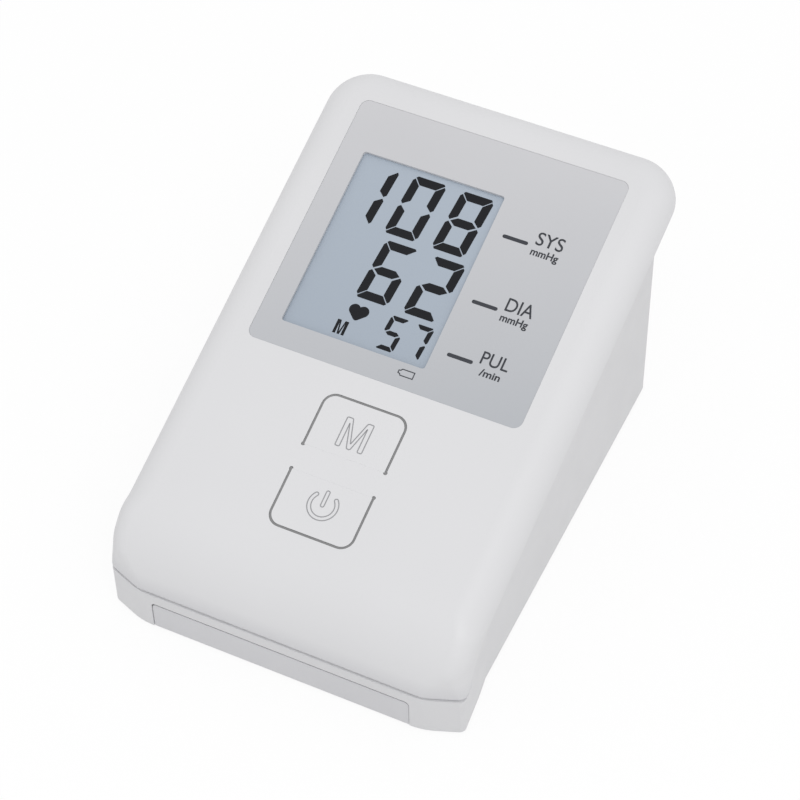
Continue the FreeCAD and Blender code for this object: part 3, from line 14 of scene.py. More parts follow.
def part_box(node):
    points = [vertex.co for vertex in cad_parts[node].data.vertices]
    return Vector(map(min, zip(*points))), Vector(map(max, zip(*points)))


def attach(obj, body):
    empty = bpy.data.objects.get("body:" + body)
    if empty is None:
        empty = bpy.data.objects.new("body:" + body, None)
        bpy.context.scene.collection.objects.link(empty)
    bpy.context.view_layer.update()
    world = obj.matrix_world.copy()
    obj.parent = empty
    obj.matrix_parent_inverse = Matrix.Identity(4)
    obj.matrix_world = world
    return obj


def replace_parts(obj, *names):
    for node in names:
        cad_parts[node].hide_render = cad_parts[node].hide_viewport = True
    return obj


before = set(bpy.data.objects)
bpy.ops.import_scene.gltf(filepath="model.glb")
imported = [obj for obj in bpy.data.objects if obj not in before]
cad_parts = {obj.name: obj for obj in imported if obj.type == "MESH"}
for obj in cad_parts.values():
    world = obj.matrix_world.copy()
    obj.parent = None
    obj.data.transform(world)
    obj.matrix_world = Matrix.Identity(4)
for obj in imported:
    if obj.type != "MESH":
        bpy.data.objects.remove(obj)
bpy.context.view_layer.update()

MM = 0.001
QUARTER_TURN = math.pi / 2
SLOPE = math.radians(17.46)
NORMAL = Vector((0, -math.sin(SLOPE), math.cos(SLOPE)))
UPHILL = Vector((0, math.cos(SLOPE), math.sin(SLOPE)))
FACE_TURN = Matrix((Vector((1, 0, 0)), UPHILL, NORMAL)).transposed().to_4x4()

KEY_TOP = 0.0               # heights out of the face
PANEL_TOP = -0.1
PANEL_MIDDLE = -0.55
GLASS_TOP = -1.1
BOARD_TOP = -8.4
BOARD_FOOT = -10.0
PRINT = 0.03                # a printed mark stands this proud


def scaled(size):
    return Matrix.Diagonal((size, size, size, 1))


def face_frame():
    """The sloping face's frame: its origin is the middle of the display panel's place."""
    low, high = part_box("display_panel")
    origin = (low + high) / 2 - NORMAL * PANEL_MIDDLE * MM
    return Matrix.Translation(origin) @ FACE_TURN @ scaled(MM)


FACE = face_frame()


# ---- node building

def feed(tree, socket, source):
    """Gives a socket what it reads: another node's output, or a plain value."""
    if isinstance(source, bpy.types.NodeSocket):
        tree.links.new(source, socket)
    else:
        socket.default_value = source


def add(tree, kind, inputs=None, **settings):
    """A node with its settings, and with its inputs by name: plain values or other nodes' outputs."""
    node = tree.nodes.new(kind)
    for name, setting in settings.items():
        setattr(node, name, setting)
    for name, source in (inputs or {}).items():
        feed(tree, node.inputs[name], source)
    return node


def step(tree, kind, inputs=None, **settings):
    """The first output of a new node."""
    return add(tree, kind, inputs, **settings).outputs[0]


def node_group(name, tree_kind, inputs, outputs):
    """An empty group with its named sockets: its tree, what comes into it, and its end node."""
    tree = bpy.data.node_groups.new(name, tree_kind)
    for side, sockets in (("INPUT", inputs), ("OUTPUT", outputs)):
        for label, kind, *default in sockets:
            socket = tree.interface.new_socket(label, in_out=side, socket_type="NodeSocket" + kind)
            if default:
                socket.default_value = default[0]
    return tree, tree.nodes.new("NodeGroupInput").outputs, tree.nodes.new("NodeGroupOutput")


def maths(tree, operation, *sources):
    return step(tree, "ShaderNodeMath", dict(enumerate(sources)), operation=operation)


def xyz(tree, **parts):
    """A vector from its parts X, Y and Z."""
    return step(tree, "ShaderNodeCombineXYZ", parts)


def parts_of(tree, vector):
    return add(tree, "ShaderNodeSeparateXYZ", {"Vector": vector}).outputs


# ---- finishes

SKIN_OUTPUTS = [("Color", "Color"), ("Roughness", "Float"), ("Height", "Float")]
SKIN_DEPTH = 0.00005        # height of a moulded or rolled surface's grain
FILM_DEPTH = 0.00003
GLOSS_FINENESS = 7.0        # gloss comes in smaller clouds than tone, by this much
METAL_BUMP = 0.15
STAIN_SCALE = 160.0


def srgb(red, green, blue):
    """A colour given as it shows on a screen, 0 to 255, for a shader's colour socket."""
    def linear(part):
        part /= 255
        return part / 12.92 if part <= 0.04045 else ((part + 0.055) / 1.055) ** 2.4
    return (linear(red), linear(green), linear(blue), 1)


def noise(tree, place, scale, detail=3.0, rough=0.5):
    """Clouds, whose value lies mostly between 0.3 and 0.7."""
    return step(tree, "ShaderNodeTexNoise",
                {"Vector": place, "Scale": scale, "Detail": detail, "Roughness": rough})


def blend_colour(tree, factor, first, second):
    """A colour between two others. The node's colour sockets are inputs 6 and 7 and output 2."""
    return add(tree, "ShaderNodeMix", {0: factor, 6: first, 7: second}, data_type="RGBA").outputs[2]


def spread(tree, value, low, high, start=0.3, stop=0.7):
    """A value from start to stop, stretched to run from low to high."""
    return step(tree, "ShaderNodeMapRange",
                {"Value": value, "From Min": start, "From Max": stop, "To Min": low, "To Max": high})


def own_place(tree):
    return add(tree, "ShaderNodeTexCoord").outputs["Object"]


def close_skin(tree, leave, colour, rough, height):
    for name, source in (("Color", colour), ("Roughness", rough), ("Height", height)):
        feed(tree, leave.inputs[name], source)
    return tree


def build_moulded_skin():
    """Moulded or painted skin: broad clouds of tone, a fine spark-eroded grain, uneven gloss."""
    tree, enter, leave = node_group("moulded_skin", "ShaderNodeTree", [
        ("Color", "Color", (0.7, 0.7, 0.7, 1)), ("Cloud Color", "Color", (0.6, 0.6, 0.6, 1)),
        ("Cloud Scale", "Float", 20.0), ("Grain Scale", "Float", 2500.0),
        ("Roughness Low", "Float", 0.4), ("Roughness High", "Float", 0.55)], SKIN_OUTPUTS)
    place = own_place(tree)
    cloud = spread(tree, noise(tree, place, enter["Cloud Scale"], detail=2.0), 0.0, 1.0)
    tone = blend_colour(tree, cloud, enter["Color"], enter["Cloud Color"])
    grain = noise(tree, place, enter["Grain Scale"], detail=2.0, rough=0.6)
    finer = step(tree, "ShaderNodeVectorMath", {"Vector": place, "Scale": GLOSS_FINENESS},
                 operation="SCALE")
    gloss = noise(tree, finer, enter["Cloud Scale"], detail=4.0)
    rough = spread(tree, gloss, enter["Roughness Low"], enter["Roughness High"])
    return close_skin(tree, leave, tone, rough, grain)


def build_worked_metal():
    """Rolled or drawn metal: streaks along one way, faint stains, and gloss that follows them."""
    tree, enter, leave = node_group("worked_metal", "ShaderNodeTree", [
        ("Color", "Color", (0.6, 0.6, 0.6, 1)), ("Stain Color", "Color", (0.4, 0.4, 0.4, 1)),
        ("Streak Scale", "Vector", (300.0, 3000.0, 300.0)),
        ("Roughness Low", "Float", 0.2), ("Roughness High", "Float", 0.4)], SKIN_OUTPUTS)
    place = own_place(tree)
    stretched = step(tree, "ShaderNodeMapping", {"Vector": place, "Scale": enter["Streak Scale"]})
    streak = noise(tree, stretched, 1.0)
    stain = spread(tree, noise(tree, place, STAIN_SCALE, detail=4.0), 0.0, 1.0, start=0.5, stop=0.8)
    tone = blend_colour(tree, stain, enter["Color"], enter["Stain Color"])
    rough = spread(tree, streak, enter["Roughness Low"], enter["Roughness High"])
    return close_skin(tree, leave, tone, rough, streak)


MOULDED = build_moulded_skin()
METAL = build_worked_metal()


def material(name, group, values, bump, depth, uniform, mask=None, second=None):
    """A material with a skin's colour, gloss and height wired in, and its uniform values on the
    shader itself. Where its mask is 1, the second colour takes the place of the skin's."""
    mat = bpy.data.materials.new(name)
    mat.use_nodes = True
    tree = mat.node_tree
    shader = tree.nodes["Principled BSDF"]
    for label, number in uniform.items():
        shader.inputs[label.replace("_", " ").title().replace("Ior", "IOR")].default_value = number
    skin = add(tree, "ShaderNodeGroup", values, node_tree=group).outputs
    tone = blend_colour(tree, mask(tree), skin["Color"], srgb(*second)) if mask else skin["Color"]
    lift = step(tree, "ShaderNodeBump",
                {"Height": skin["Height"], "Strength": bump, "Distance": depth})
    for label, source in (("Base Color", tone), ("Roughness", skin["Roughness"]), ("Normal", lift)):
        feed(tree, shader.inputs[label], source)
    return mat


def plastic(name, colour, cloud, rough=(0.42, 0.52), grain=2500.0, bump=0.12, clouds=18.0,
            depth=SKIN_DEPTH, mask=None, second=None, **uniform):
    """Moulded plastic, rubber, print or film."""
    values = {"Color": srgb(*colour), "Cloud Color": srgb(*cloud), "Cloud Scale": clouds,
              "Grain Scale": grain, "Roughness Low": rough[0], "Roughness High": rough[1]}
    return material(name, MOULDED, values, bump, depth, uniform, mask, second)


def metal(name, colour, stain, streaks=(300.0, 3000.0, 300.0), rough=(0.25, 0.4)):
    values = {"Color": srgb(*colour), "Stain Color": srgb(*stain), "Streak Scale": streaks,
              "Roughness Low": rough[0], "Roughness High": rough[1]}
    return material(name, METAL, values, METAL_BUMP, SKIN_DEPTH, {"metallic": 1.0})


# painted shade: the cover's front roll grows darker down to its lower edge
COVER_EDGE = 0.0152         # height of the cover's lower edge at its front
COVER_SHADE_TOP = 0.0215         # and where the painted shade on the front roll ends
PANEL_REFLECTION_FADE = 0.62          # painted reflection that fades down the panel; share of its darker colour at its lower left corner,
PANEL_REFLECTION_FADE_ACROSS = 0.32   # how much more at the lower right,
PANEL_REFLECTION_FADE_TOP = 0.06      # and at the upper right
RUN_SCALE = 260.0           # the board's copper runs,
RUN_WIDTH = 0.04
RUN_FACING = 0.9            # on faces that point out of it or into it, within this cosine
BAND_FOOT = 38.0            # the pale band on a cell begins at this height
BAND_EDGE = 0.1


def painted_shade_down_the_roll(tree):
    """Painted shade on the cover's front roll: 1 at its lower edge, and 0 where the roll has its full
    tone.
    """
    return spread(tree, parts_of(tree, own_place(tree))["Z"], 1.0, 0.0, COVER_EDGE, COVER_SHADE_TOP)


def painted_reflection_down_the_panel(tree):
    """Painted reflection on the panel, fading from its upper edge to its lower edge, and more towards
    its right side.
    """
    low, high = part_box("display_panel")
    spot = parts_of(tree, own_place(tree))
    down = spread(tree, spot["Y"], 1.0, 0.0, low.y, high.y)
    right = spread(tree, spot["X"], 0.0, 1.0, low.x, high.x)
    slant = maths(tree, "MULTIPLY_ADD", right, PANEL_REFLECTION_FADE_ACROSS, PANEL_REFLECTION_FADE)
    return maths(tree, "MULTIPLY_ADD", down, slant, maths(tree, "MULTIPLY", right, PANEL_REFLECTION_FADE_TOP))


# painted shade on the display: darker from its upper edge down to its lower edge
def painted_shade_down_the_display(tree):
    low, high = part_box("lcd_glass")
    return spread(tree, parts_of(tree, own_place(tree))["Y"], 1.0, 0.0, low.y, high.y)


def on_copper_runs(tree):
    """1 on the board's net of copper runs, which its edges don't show."""
    runs = add(tree, "ShaderNodeTexBrick",
               {"Vector": own_place(tree), "Scale": RUN_SCALE, "Mortar Size": RUN_WIDTH})
    normal = add(tree, "ShaderNodeNewGeometry").outputs["True Normal"]
    facing = add(tree, "ShaderNodeVectorMath", {0: normal, 1: NORMAL}, operation="DOT_PRODUCT")
    cosine = maths(tree, "ABSOLUTE", facing.outputs["Value"])
    level = maths(tree, "GREATER_THAN", cosine, RUN_FACING)
    return maths(tree, "MULTIPLY", runs.outputs["Fac"], level)


def on_cell_band(tree):
    """1 from the band to the nub's end, by the height that a turned shape stores."""
    height = add(tree, "ShaderNodeAttribute", attribute_name="height").outputs["Fac"]
    return spread(tree, height, 0.0, 1.0, BAND_FOOT - BAND_EDGE, BAND_FOOT + BAND_EDGE)


PRINTED = {"rough": (0.4, 0.5), "bump": 0.02}
FILM = {"bump": 0.05, "depth": FILM_DEPTH}
RUBBER = {"rough": (0.7, 0.85), "grain": 1500.0, "bump": 0.3, "clouds": 60.0}

PLASTICS = {                # colour, colour of the clouds, and what differs from plain moulded skin
    # the cover's second colour is painted shade along the lower edge of its front roll
    "cover_white": ((223, 223, 225), (221, 221, 223),
                    {"mask": painted_shade_down_the_roll, "second": (212, 212, 215)}),
    "base_white": ((219, 219, 221), (217, 217, 219), {}),
    "door_white": ((212, 212, 215), (210, 210, 213), {}),
    "inner_white": ((222, 222, 216), (214, 214, 208), {"rough": (0.4, 0.55)}),
    "black_plastic": ((34, 34, 36), (42, 42, 44), {"rough": (0.4, 0.6), "bump": 0.2}),
    "segment_black": ((27, 28, 32), (29, 30, 34), {**PRINTED, "specular_ior_level": 0.15}),
    "legend_grey": ((62, 64, 70), (66, 68, 74), {**PRINTED, "specular_ior_level": 0.2}),
    # a grey strip taken for a seal, whose grey is also painted shade of a key's slot
    "outline_grey": ((150, 150, 153), (154, 154, 157), PRINTED),
    "seal_grey": ((140, 140, 141), (134, 134, 135),
                  {"rough": (0.6, 0.75), "grain": 1800.0, "bump": 0.2, "clouds": 60.0}),
    "dark_rubber": ((52, 53, 55), (60, 61, 63), RUBBER),
    "foot_rubber": ((150, 151, 153), (142, 143, 145), RUBBER),
    "tube_silicone": ((226, 224, 214), (218, 216, 205),
                      {"rough": (0.3, 0.45), "grain": 1200.0, "bump": 0.1, "clouds": 80.0,
                       "subsurface_weight": 0.2, "subsurface_radius": (0.002, 0.002, 0.0015)}),
    # the panel's second colour is the dark end of a painted reflection, which is lighter at its upper
    # left
    "panel_film": ((206, 206, 209), (204, 204, 207),
                   {**FILM, "rough": (0.36, 0.42), "grain": 5000.0, "clouds": 25.0,
                    "coat_roughness": 0.3, "mask": painted_reflection_down_the_panel, "second": (181, 184, 189)}),
    # the display's second colour is painted shade towards its lower edge
    "display_film": ((170, 181, 194), (168, 179, 192),
                     {"rough": (0.3, 0.38), "grain": 9000.0, "bump": 0.03, "clouds": 30.0,
                      "depth": 0.00002, "coat_weight": 0.6, "coat_roughness": 0.08,
                      "mask": painted_shade_down_the_display, "second": (161, 172, 185)}),
    "board_mask": ((22, 84, 46), (18, 74, 40),
                   {**FILM, "rough": (0.3, 0.4), "grain": 4000.0, "clouds": 60.0, "coat_weight": 0.3,
                    "coat_roughness": 0.2, "mask": on_copper_runs, "second": (46, 116, 66)}),
    "cell_jacket": ((52, 60, 74), (46, 54, 68),
                    {**FILM, "rough": (0.22, 0.32), "grain": 3000.0, "clouds": 60.0, "coat_weight": 0.4,
                     "coat_roughness": 0.15, "mask": on_cell_band, "second": (188, 178, 156)}),
}
METALS = {                  # colour, colour of the stains, and what differs from a plated part
    "plated_steel": ((196, 196, 199), (176, 176, 178), {}),
    "spring_steel": ((206, 203, 196), (186, 182, 172), {"rough": (0.18, 0.32)}),
    "copper_coil": ((186, 106, 62), (146, 76, 42), {"streaks": (200.0, 200.0, 6000.0)}),
}
MATERIALS = {name: make(name, colour, patches, **more)
             for make, rows in ((plastic, PLASTICS), (metal, METALS))
             for name, (colour, patches, more) in rows.items()}

NODE_MATERIALS = {
    "cover_white": ["front_cover", "memory_key", "power_key"],
    "base_white": ["base_housing"],
    "door_white": ["battery_door"],
    "panel_film": ["display_panel"],
    "display_film": ["lcd_glass"],
    "inner_white": ["lcd_frame", "pump_head", "pump_strap", "air_manifold", "air_socket",
                    "valve_nozzle"],
    "black_plastic": ["processor_chip", "buzzer", "pressure_sensor", "memory_switch_stem",
                      "power_switch_stem"],
    "board_mask": ["main_board"],
    "dark_rubber": ["contact_strip_lower", "contact_strip_upper", "pump_sleeve"],
    "foot_rubber": ["rubber_foot_%d" % i for i in range(1, 5)],
    "tube_silicone": ["tube_to_pump", "tube_to_valve", "tube_to_sensor"],
    "plated_steel": ["memory_switch_body", "power_switch_body", "pump_motor", "pump_rotor",
                     "pump_screws", "case_screws_front", "case_screws_rear", "board_screws",
                     "valve_yoke", "valve_plunger"],
    "spring_steel": ["contact_plates_front", "contact_plates_rear", "battery_springs"],
    "copper_coil": ["valve_coil"],
    "cell_jacket": ["battery_cell_%d" % i for i in range(1, 5)],
}


def dress_nodes():
    for finish, nodes in NODE_MATERIALS.items():
        for node in nodes:
            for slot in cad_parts[node].material_slots:
                slot.material = MATERIALS[finish]


# ---- flat marks

MITRE_LIMIT = 0.35          # a line's sharpest corners are cut short
CAPITAL = 0.73              # height of the font's capitals, in its own unit
TEXT_STEPS = 6
TEXT_WELD = 1e-5
END_STEPS = 8               # on the half circle at the end of a stroke
LOBE_STEPS = 16
RING_STEPS = 60
ROUND_STEPS = 4
ROUND_LIMIT = 2.5           # a side is at least this many times what a corner's curve takes of it


def add_piece(name, mesh, finish, body="housing", place=FACE):
    """A finished piece: its place goes into its mesh, and its object stays at the origin."""
    mesh.transform(place)
    mesh.materials.clear()
    mesh.materials.append(MATERIALS[finish])
    item = bpy.data.objects.new(name, mesh)
    bpy.context.scene.collection.objects.link(item)
    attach(item, body)
    return item


def raise_faces(shape, faces, thickness=PRINT):
    """Lifts flat faces off their place and closes the sides under them."""
    for part in bmesh.ops.extrude_face_region(shape, geom=faces)["geom"]:
        if isinstance(part, bmesh.types.BMVert):
            part.co.z += thickness


def closed_mesh(name, shape):
    """The mesh of a closed shape, its faces turned outwards."""
    bmesh.ops.recalc_face_normals(shape, faces=shape.faces)
    bmesh.ops.triangulate(shape, faces=[f for f in shape.faces if len(f.verts) > 4])
    mesh = bpy.data.meshes.new(name)
    shape.to_mesh(mesh)
    shape.free()
    return mesh


def evaluated_mesh(item):
    """The plain mesh that an object comes to. The object and its modifiers are taken out again."""
    bpy.context.scene.collection.objects.link(item)
    bpy.context.view_layer.update()
    mesh = bpy.data.meshes.new_from_object(item.evaluated_get(bpy.context.evaluated_depsgraph_get()))
    item.modifiers.clear()
    bpy.data.objects.remove(item)
    return mesh


def plates(name, outlines, level, thickness=PRINT):
    """Thin closed plates in one mesh: each outline is a closed loop of points."""
    shape = bmesh.new()
    for outline in outlines:
        face = shape.faces.new([shape.verts.new((x, y, level)) for x, y in outline])
        raise_faces(shape, [face], thickness)
    return closed_mesh(name, shape)


def rails(path, width):
    """The two edges of a line of the given width along a closed path, mitred at its corners."""
    inner, outer = [], []
    for i, at in enumerate(path):
        at = Vector(at)
        before, after = Vector(path[i - 1]), Vector(path[(i + 1) % len(path)])
        first, second = (at - before).normalized(), (after - at).normalized()
        side = Vector((-first.y - second.y, first.x + second.x)).normalized()
        reach = width / 2 / max(MITRE_LIMIT, side.dot(Vector((-first.y, first.x))))
        inner.append(at + side * reach)
        outer.append(at - side * reach)
    return inner, outer


def outline_mesh(name, paths, width, level):
    """A raised line of the given width along each closed path."""
    shape = bmesh.new()
    for path in paths:
        edges = rails(path, width)
        (low_in, low_out), (top_in, top_out) = (
            [[shape.verts.new((p.x, p.y, height)) for p in edge] for edge in edges]
            for height in (level, level + PRINT))
        for i in range(len(path)):
            j = (i + 1) % len(path)
            for first, second in ((top_in, top_out), (low_out, low_in), (low_in, top_in),
                                  (top_out, low_out)):
                shape.faces.new((first[i], second[i], second[j], first[j]))
    return closed_mesh(name, shape)


def text_mesh(name, words, left, right, base, height, weight, level):
    """Lettering that fills the given place: capital height above its base line, left to right."""
    curve = bpy.data.curves.new(name, "FONT")
    curve.body = words
    curve.offset = weight
    curve.resolution_u = TEXT_STEPS
    flat = evaluated_mesh(bpy.data.objects.new(name, curve))
    xs = [v.co.x for v in flat.vertices]
    across = (right - left) / (max(xs) - min(xs))
    flat.transform(Matrix.Translation((left - min(xs) * across, base, level)) @
                   Matrix.Diagonal((across, height / CAPITAL, 1, 1)))
    shape = bmesh.new()
    shape.from_mesh(flat)
    bpy.data.meshes.remove(flat)
    bmesh.ops.remove_doubles(shape, verts=shape.verts, dist=TEXT_WELD)
    raise_faces(shape, shape.faces[:])
    return closed_mesh(name, shape)


def polar(centre, radius, angle):
    """The point at an angle, in degrees, on a circle."""
    turn = math.radians(angle)
    return (centre[0] + radius * math.cos(turn), centre[1] + radius * math.sin(turn))


def arc(centre, radius, start, stop, steps):
    """Points from one angle to another, in degrees, ends included."""
    return [polar(centre, radius, start + (stop - start) * i / steps) for i in range(steps + 1)]


def bar(x0, x1, y, width):
    """A level bar with round ends."""
    half = width / 2
    return (arc((x1 - half, y), half, -90, 90, END_STEPS)
            + arc((x0 + half, y), half, 90, 270, END_STEPS))


def upright_bar(x, y0, y1, width):
    half = width / 2
    return (arc((x, y1 - half), half, 0, 180, END_STEPS)
            + arc((x, y0 + half), half, 180, 360, END_STEPS))


def rounded(path, radius):
    """A closed path with each corner cut by a short curve."""
    points = []
    for i, at in enumerate(path):
        at = Vector(at)
        before, after = Vector(path[i - 1]) - at, Vector(path[(i + 1) % len(path)]) - at
        reach = min(radius, before.length / ROUND_LIMIT, after.length / ROUND_LIMIT)
        first, last = at + before.normalized() * reach, at + after.normalized() * reach
        for k in range(ROUND_STEPS + 1):
            t = k / ROUND_STEPS
            points.append(tuple(first * (1 - t) ** 2 + at * 2 * t * (1 - t) + last * t ** 2))
    return points


HEART_LOBE = 0.28           # radius of a lobe, over the heart's width
M_SHOULDER = 1.33           # width of a capital M's shoulder, over its stroke,
M_FOOT = 0.4                # and half the width of its middle's foot
M_NOTCH = 0.17              # how far the notches beside its middle stop from its top, over its height,
M_MIDDLE = 0.175            # and the one above from its base


def heart(middle, foot, top, width):
    """Two round lobes, and the straight sides that run from them to the foot."""
    lobe = width * HEART_LOBE
    side, high = width / 2 - lobe, top - lobe
    rise = high - foot
    lean = math.degrees(math.atan2(rise, side) - math.asin(lobe / math.hypot(side, rise)))
    notch = math.degrees(math.acos(-side / lobe))
    right = arc((side, high), lobe, lean - 90, notch, LOBE_STEPS)
    left = [(-x, y) for x, y in right[-2::-1]]
    return [(middle + x, y) for x, y in [(0, foot)] + right + left]


def letter_m(left, right, base, top, stroke):
    """The outline of a capital M with a deep middle, anticlockwise from its lower left."""
    middle = (left + right) / 2
    shoulder, foot = stroke * M_SHOULDER, stroke * M_FOOT
    notch = top - (top - base) * M_NOTCH
    return [(left, base), (left + stroke, base), (left + stroke, notch),
            (middle - foot, base), (middle + foot, base),
            (right - stroke, notch), (right - stroke, base), (right, base), (right, top),
            (right - shoulder, top), (middle, base + (top - base) * M_MIDDLE),
            (left + shoulder, top), (left, top)]


# ---- grown shapes

CORNER = 0.6                # edges that turn by more radians than this stay sharp
WELD = 0.001


def geometry_tree(name, sizes):
    """A tree that puts something on every incoming point, with its sizes and material as inputs."""
    inputs = [(label, "Int" if isinstance(size, int) else "Float", size)
              for label, size in sizes.items()]
    return node_group(name, "GeometryNodeTree",
                      [("Geometry", "Geometry"), *inputs, ("Material", "Material")],
                      [("Geometry", "Geometry")])


def close_tree(tree, grown, enter, leave):
    """The end of every tree: shading that breaks at the corners only, then one real mesh in the
    material that it was given."""
    even = step(tree, "GeometryNodeSetShadeSmooth", {"Geometry": grown})
    turn = add(tree, "GeometryNodeInputMeshEdgeAngle").outputs["Unsigned Angle"]
    broken = step(tree, "GeometryNodeSetShadeSmooth",
                  {"Geometry": even, "Shade Smooth": maths(tree, "LESS_THAN", turn, CORNER)},
                  domain="EDGE")
    whole = step(tree, "GeometryNodeRealizeInstances", {"Geometry": broken})
    coloured = step(tree, "GeometryNodeSetMaterial", {"Geometry": whole, "Material": enter["Material"]})
    feed(tree, leave.inputs["Geometry"], coloured)
    return tree


def attribute(tree, name, kind="FLOAT"):
    return step(tree, "GeometryNodeInputNamedAttribute", {"Name": name}, data_type=kind)


def by_index(tree, index, numbers):
    """The number of a list that an index picks."""
    switch = add(tree, "GeometryNodeIndexSwitch", {"Index": index}, data_type="FLOAT")
    while len(switch.index_switch_items) < len(numbers):
        switch.index_switch_items.new()
    for socket, number in zip(list(switch.inputs)[1:], numbers):
        feed(tree, socket, number)
    return switch.outputs[0]


def on_points(tree, enter, instance, **more):
    """The instance set on every incoming point, turned by the point's own turn."""
    turn = attribute(tree, "turn", "FLOAT_VECTOR")
    return step(tree, "GeometryNodeInstanceOnPoints",
                {"Points": enter["Geometry"], "Instance": instance, "Rotation": turn, **more})


def lathe(tree, radii, heights, sides):
    """A closed turned shape from a half section that runs from its top to its foot. Its points keep
    their heights, for a finish to read."""
    rows = len(radii)
    grid = step(tree, "GeometryNodeMeshGrid", {"Size X": 1.0, "Size Y": 1.0, "Vertices Y": rows,
                                               "Vertices X": maths(tree, "ADD", sides, 1)})
    spot = parts_of(tree, step(tree, "GeometryNodeInputPosition"))
    angle = maths(tree, "MULTIPLY", spot["X"], 2 * math.pi)
    share = maths(tree, "ADD", spot["Y"], 0.5)
    row = maths(tree, "ROUND", maths(tree, "MULTIPLY", share, rows - 1))
    radius = by_index(tree, row, radii)
    height = by_index(tree, row, heights)
    place = xyz(tree, X=maths(tree, "MULTIPLY", radius, maths(tree, "COSINE", angle)),
                Y=maths(tree, "MULTIPLY", radius, maths(tree, "SINE", angle)), Z=height)
    marked = step(tree, "GeometryNodeStoreNamedAttribute",
                  {"Geometry": grid, "Name": "height", "Value": height},
                  data_type="FLOAT", domain="POINT")
    turned = step(tree, "GeometryNodeSetPosition", {"Geometry": marked, "Position": place})
    closed = step(tree, "GeometryNodeMergeByDistance", {"Geometry": turned, "Distance": WELD})
    return step(tree, "GeometryNodeFlipFaces", {"Mesh": closed})


def points_mesh(name, spots, **fields):
    """Loose points, with a number or a vector for each of them under every name that is given."""
    mesh = bpy.data.meshes.new(name)
    mesh.from_pydata(spots, [], [])
    for label, values in fields.items():
        plain = isinstance(values[0], float)
        data = mesh.attributes.new(label, "FLOAT" if plain else "FLOAT_VECTOR", "POINT").data
        for item, value in zip(data, values):
            setattr(item, "value" if plain else "vector", value)
    return mesh


def grown_mesh(name, points, tree, finish, sizes):
    """The plain mesh that a tree makes on its points, with its inputs set by their names."""
    item = bpy.data.objects.new(name, points)
    modifier = item.modifiers.new("growth", "NODES")
    modifier.node_group = tree
    values = {"Material": MATERIALS[finish], **sizes}
    for socket in tree.interface.items_tree:
        if socket.in_out == "INPUT" and socket.name in values:
            modifier[socket.identifier] = values[socket.name]
    mesh = evaluated_mesh(item)
    mesh.name = name
    return mesh


# ---- display

SEGMENT_ENDS = {            # how far an end is cut back at its outer edge, its apex and its inner edge,
    "flat": (0.32, 0.14, 0.93, 0.2),        # and how deep the apex lies, all over the stroke
    "shoulder": (0.5, 0.26, 1.05, 0.2),
    "tip": (0.3, 0.03, 0.62, 0.27),
    "point": (1.05, 0.36, 1.05, 0.5),
}
SEGMENTS = {                # middle, turn in quarter turns, long way, first end, second end
    "a": ((0, 1), 0, "wide", "flat", "flat"),
    "b": ((1, 0.5), 3, "tall", "shoulder", "tip"),
    "c": ((1, -0.5), 3, "tall", "tip", "shoulder"),
    "d": ((0, -1), 2, "wide", "flat", "flat"),
    "e": ((-1, -0.5), 1, "tall", "shoulder", "tip"),
    "f": ((-1, 0.5), 1, "tall", "tip", "shoulder"),
    "g": ((0, 0), 0, "wide", "point", "point"),
}
LIT = {"0": "abcdef", "1": "bc", "2": "abged", "5": "afgcd", "6": "afgedc", "7": "abc", "8": "abcdefg"}
DIGITS = [                  # digit, right edge, middle height, width, height, stroke
    ("1", -22.1, 12.45, 9.9, 19.15, 2.5), ("0", -7.8, 12.45, 9.9, 19.15, 2.5),
    ("8", 6.6, 12.45, 9.9, 19.15, 2.5),
    ("6", -7.2, -8.45, 9.9, 18.7, 2.5), ("2", 7.15, -8.45, 9.9, 18.7, 2.5),
    ("5", -0.5, -24.8, 5.35, 10.5, 1.35), ("7", 6.95, -24.8, 5.25, 10.5, 1.35),
]
SEGMENT_FIELDS = ("middle", "turn", "half_length", "near_cut", "near_apex", "far_cut", "far_apex",
                  "stroke", "origin")
SEGMENT_SIZES = {"Gap": 0.2, "Slant": 0.074, "Thickness": PRINT}
HEART = (-14.6, -24.95, -19.9, 5.85)                # middle, foot, top, width
HEART_ROUND = 0.95
DISPLAY_M = (-19.0, -15.65, -29.95, -25.7, 0.82)    # left, right, base, top, stroke


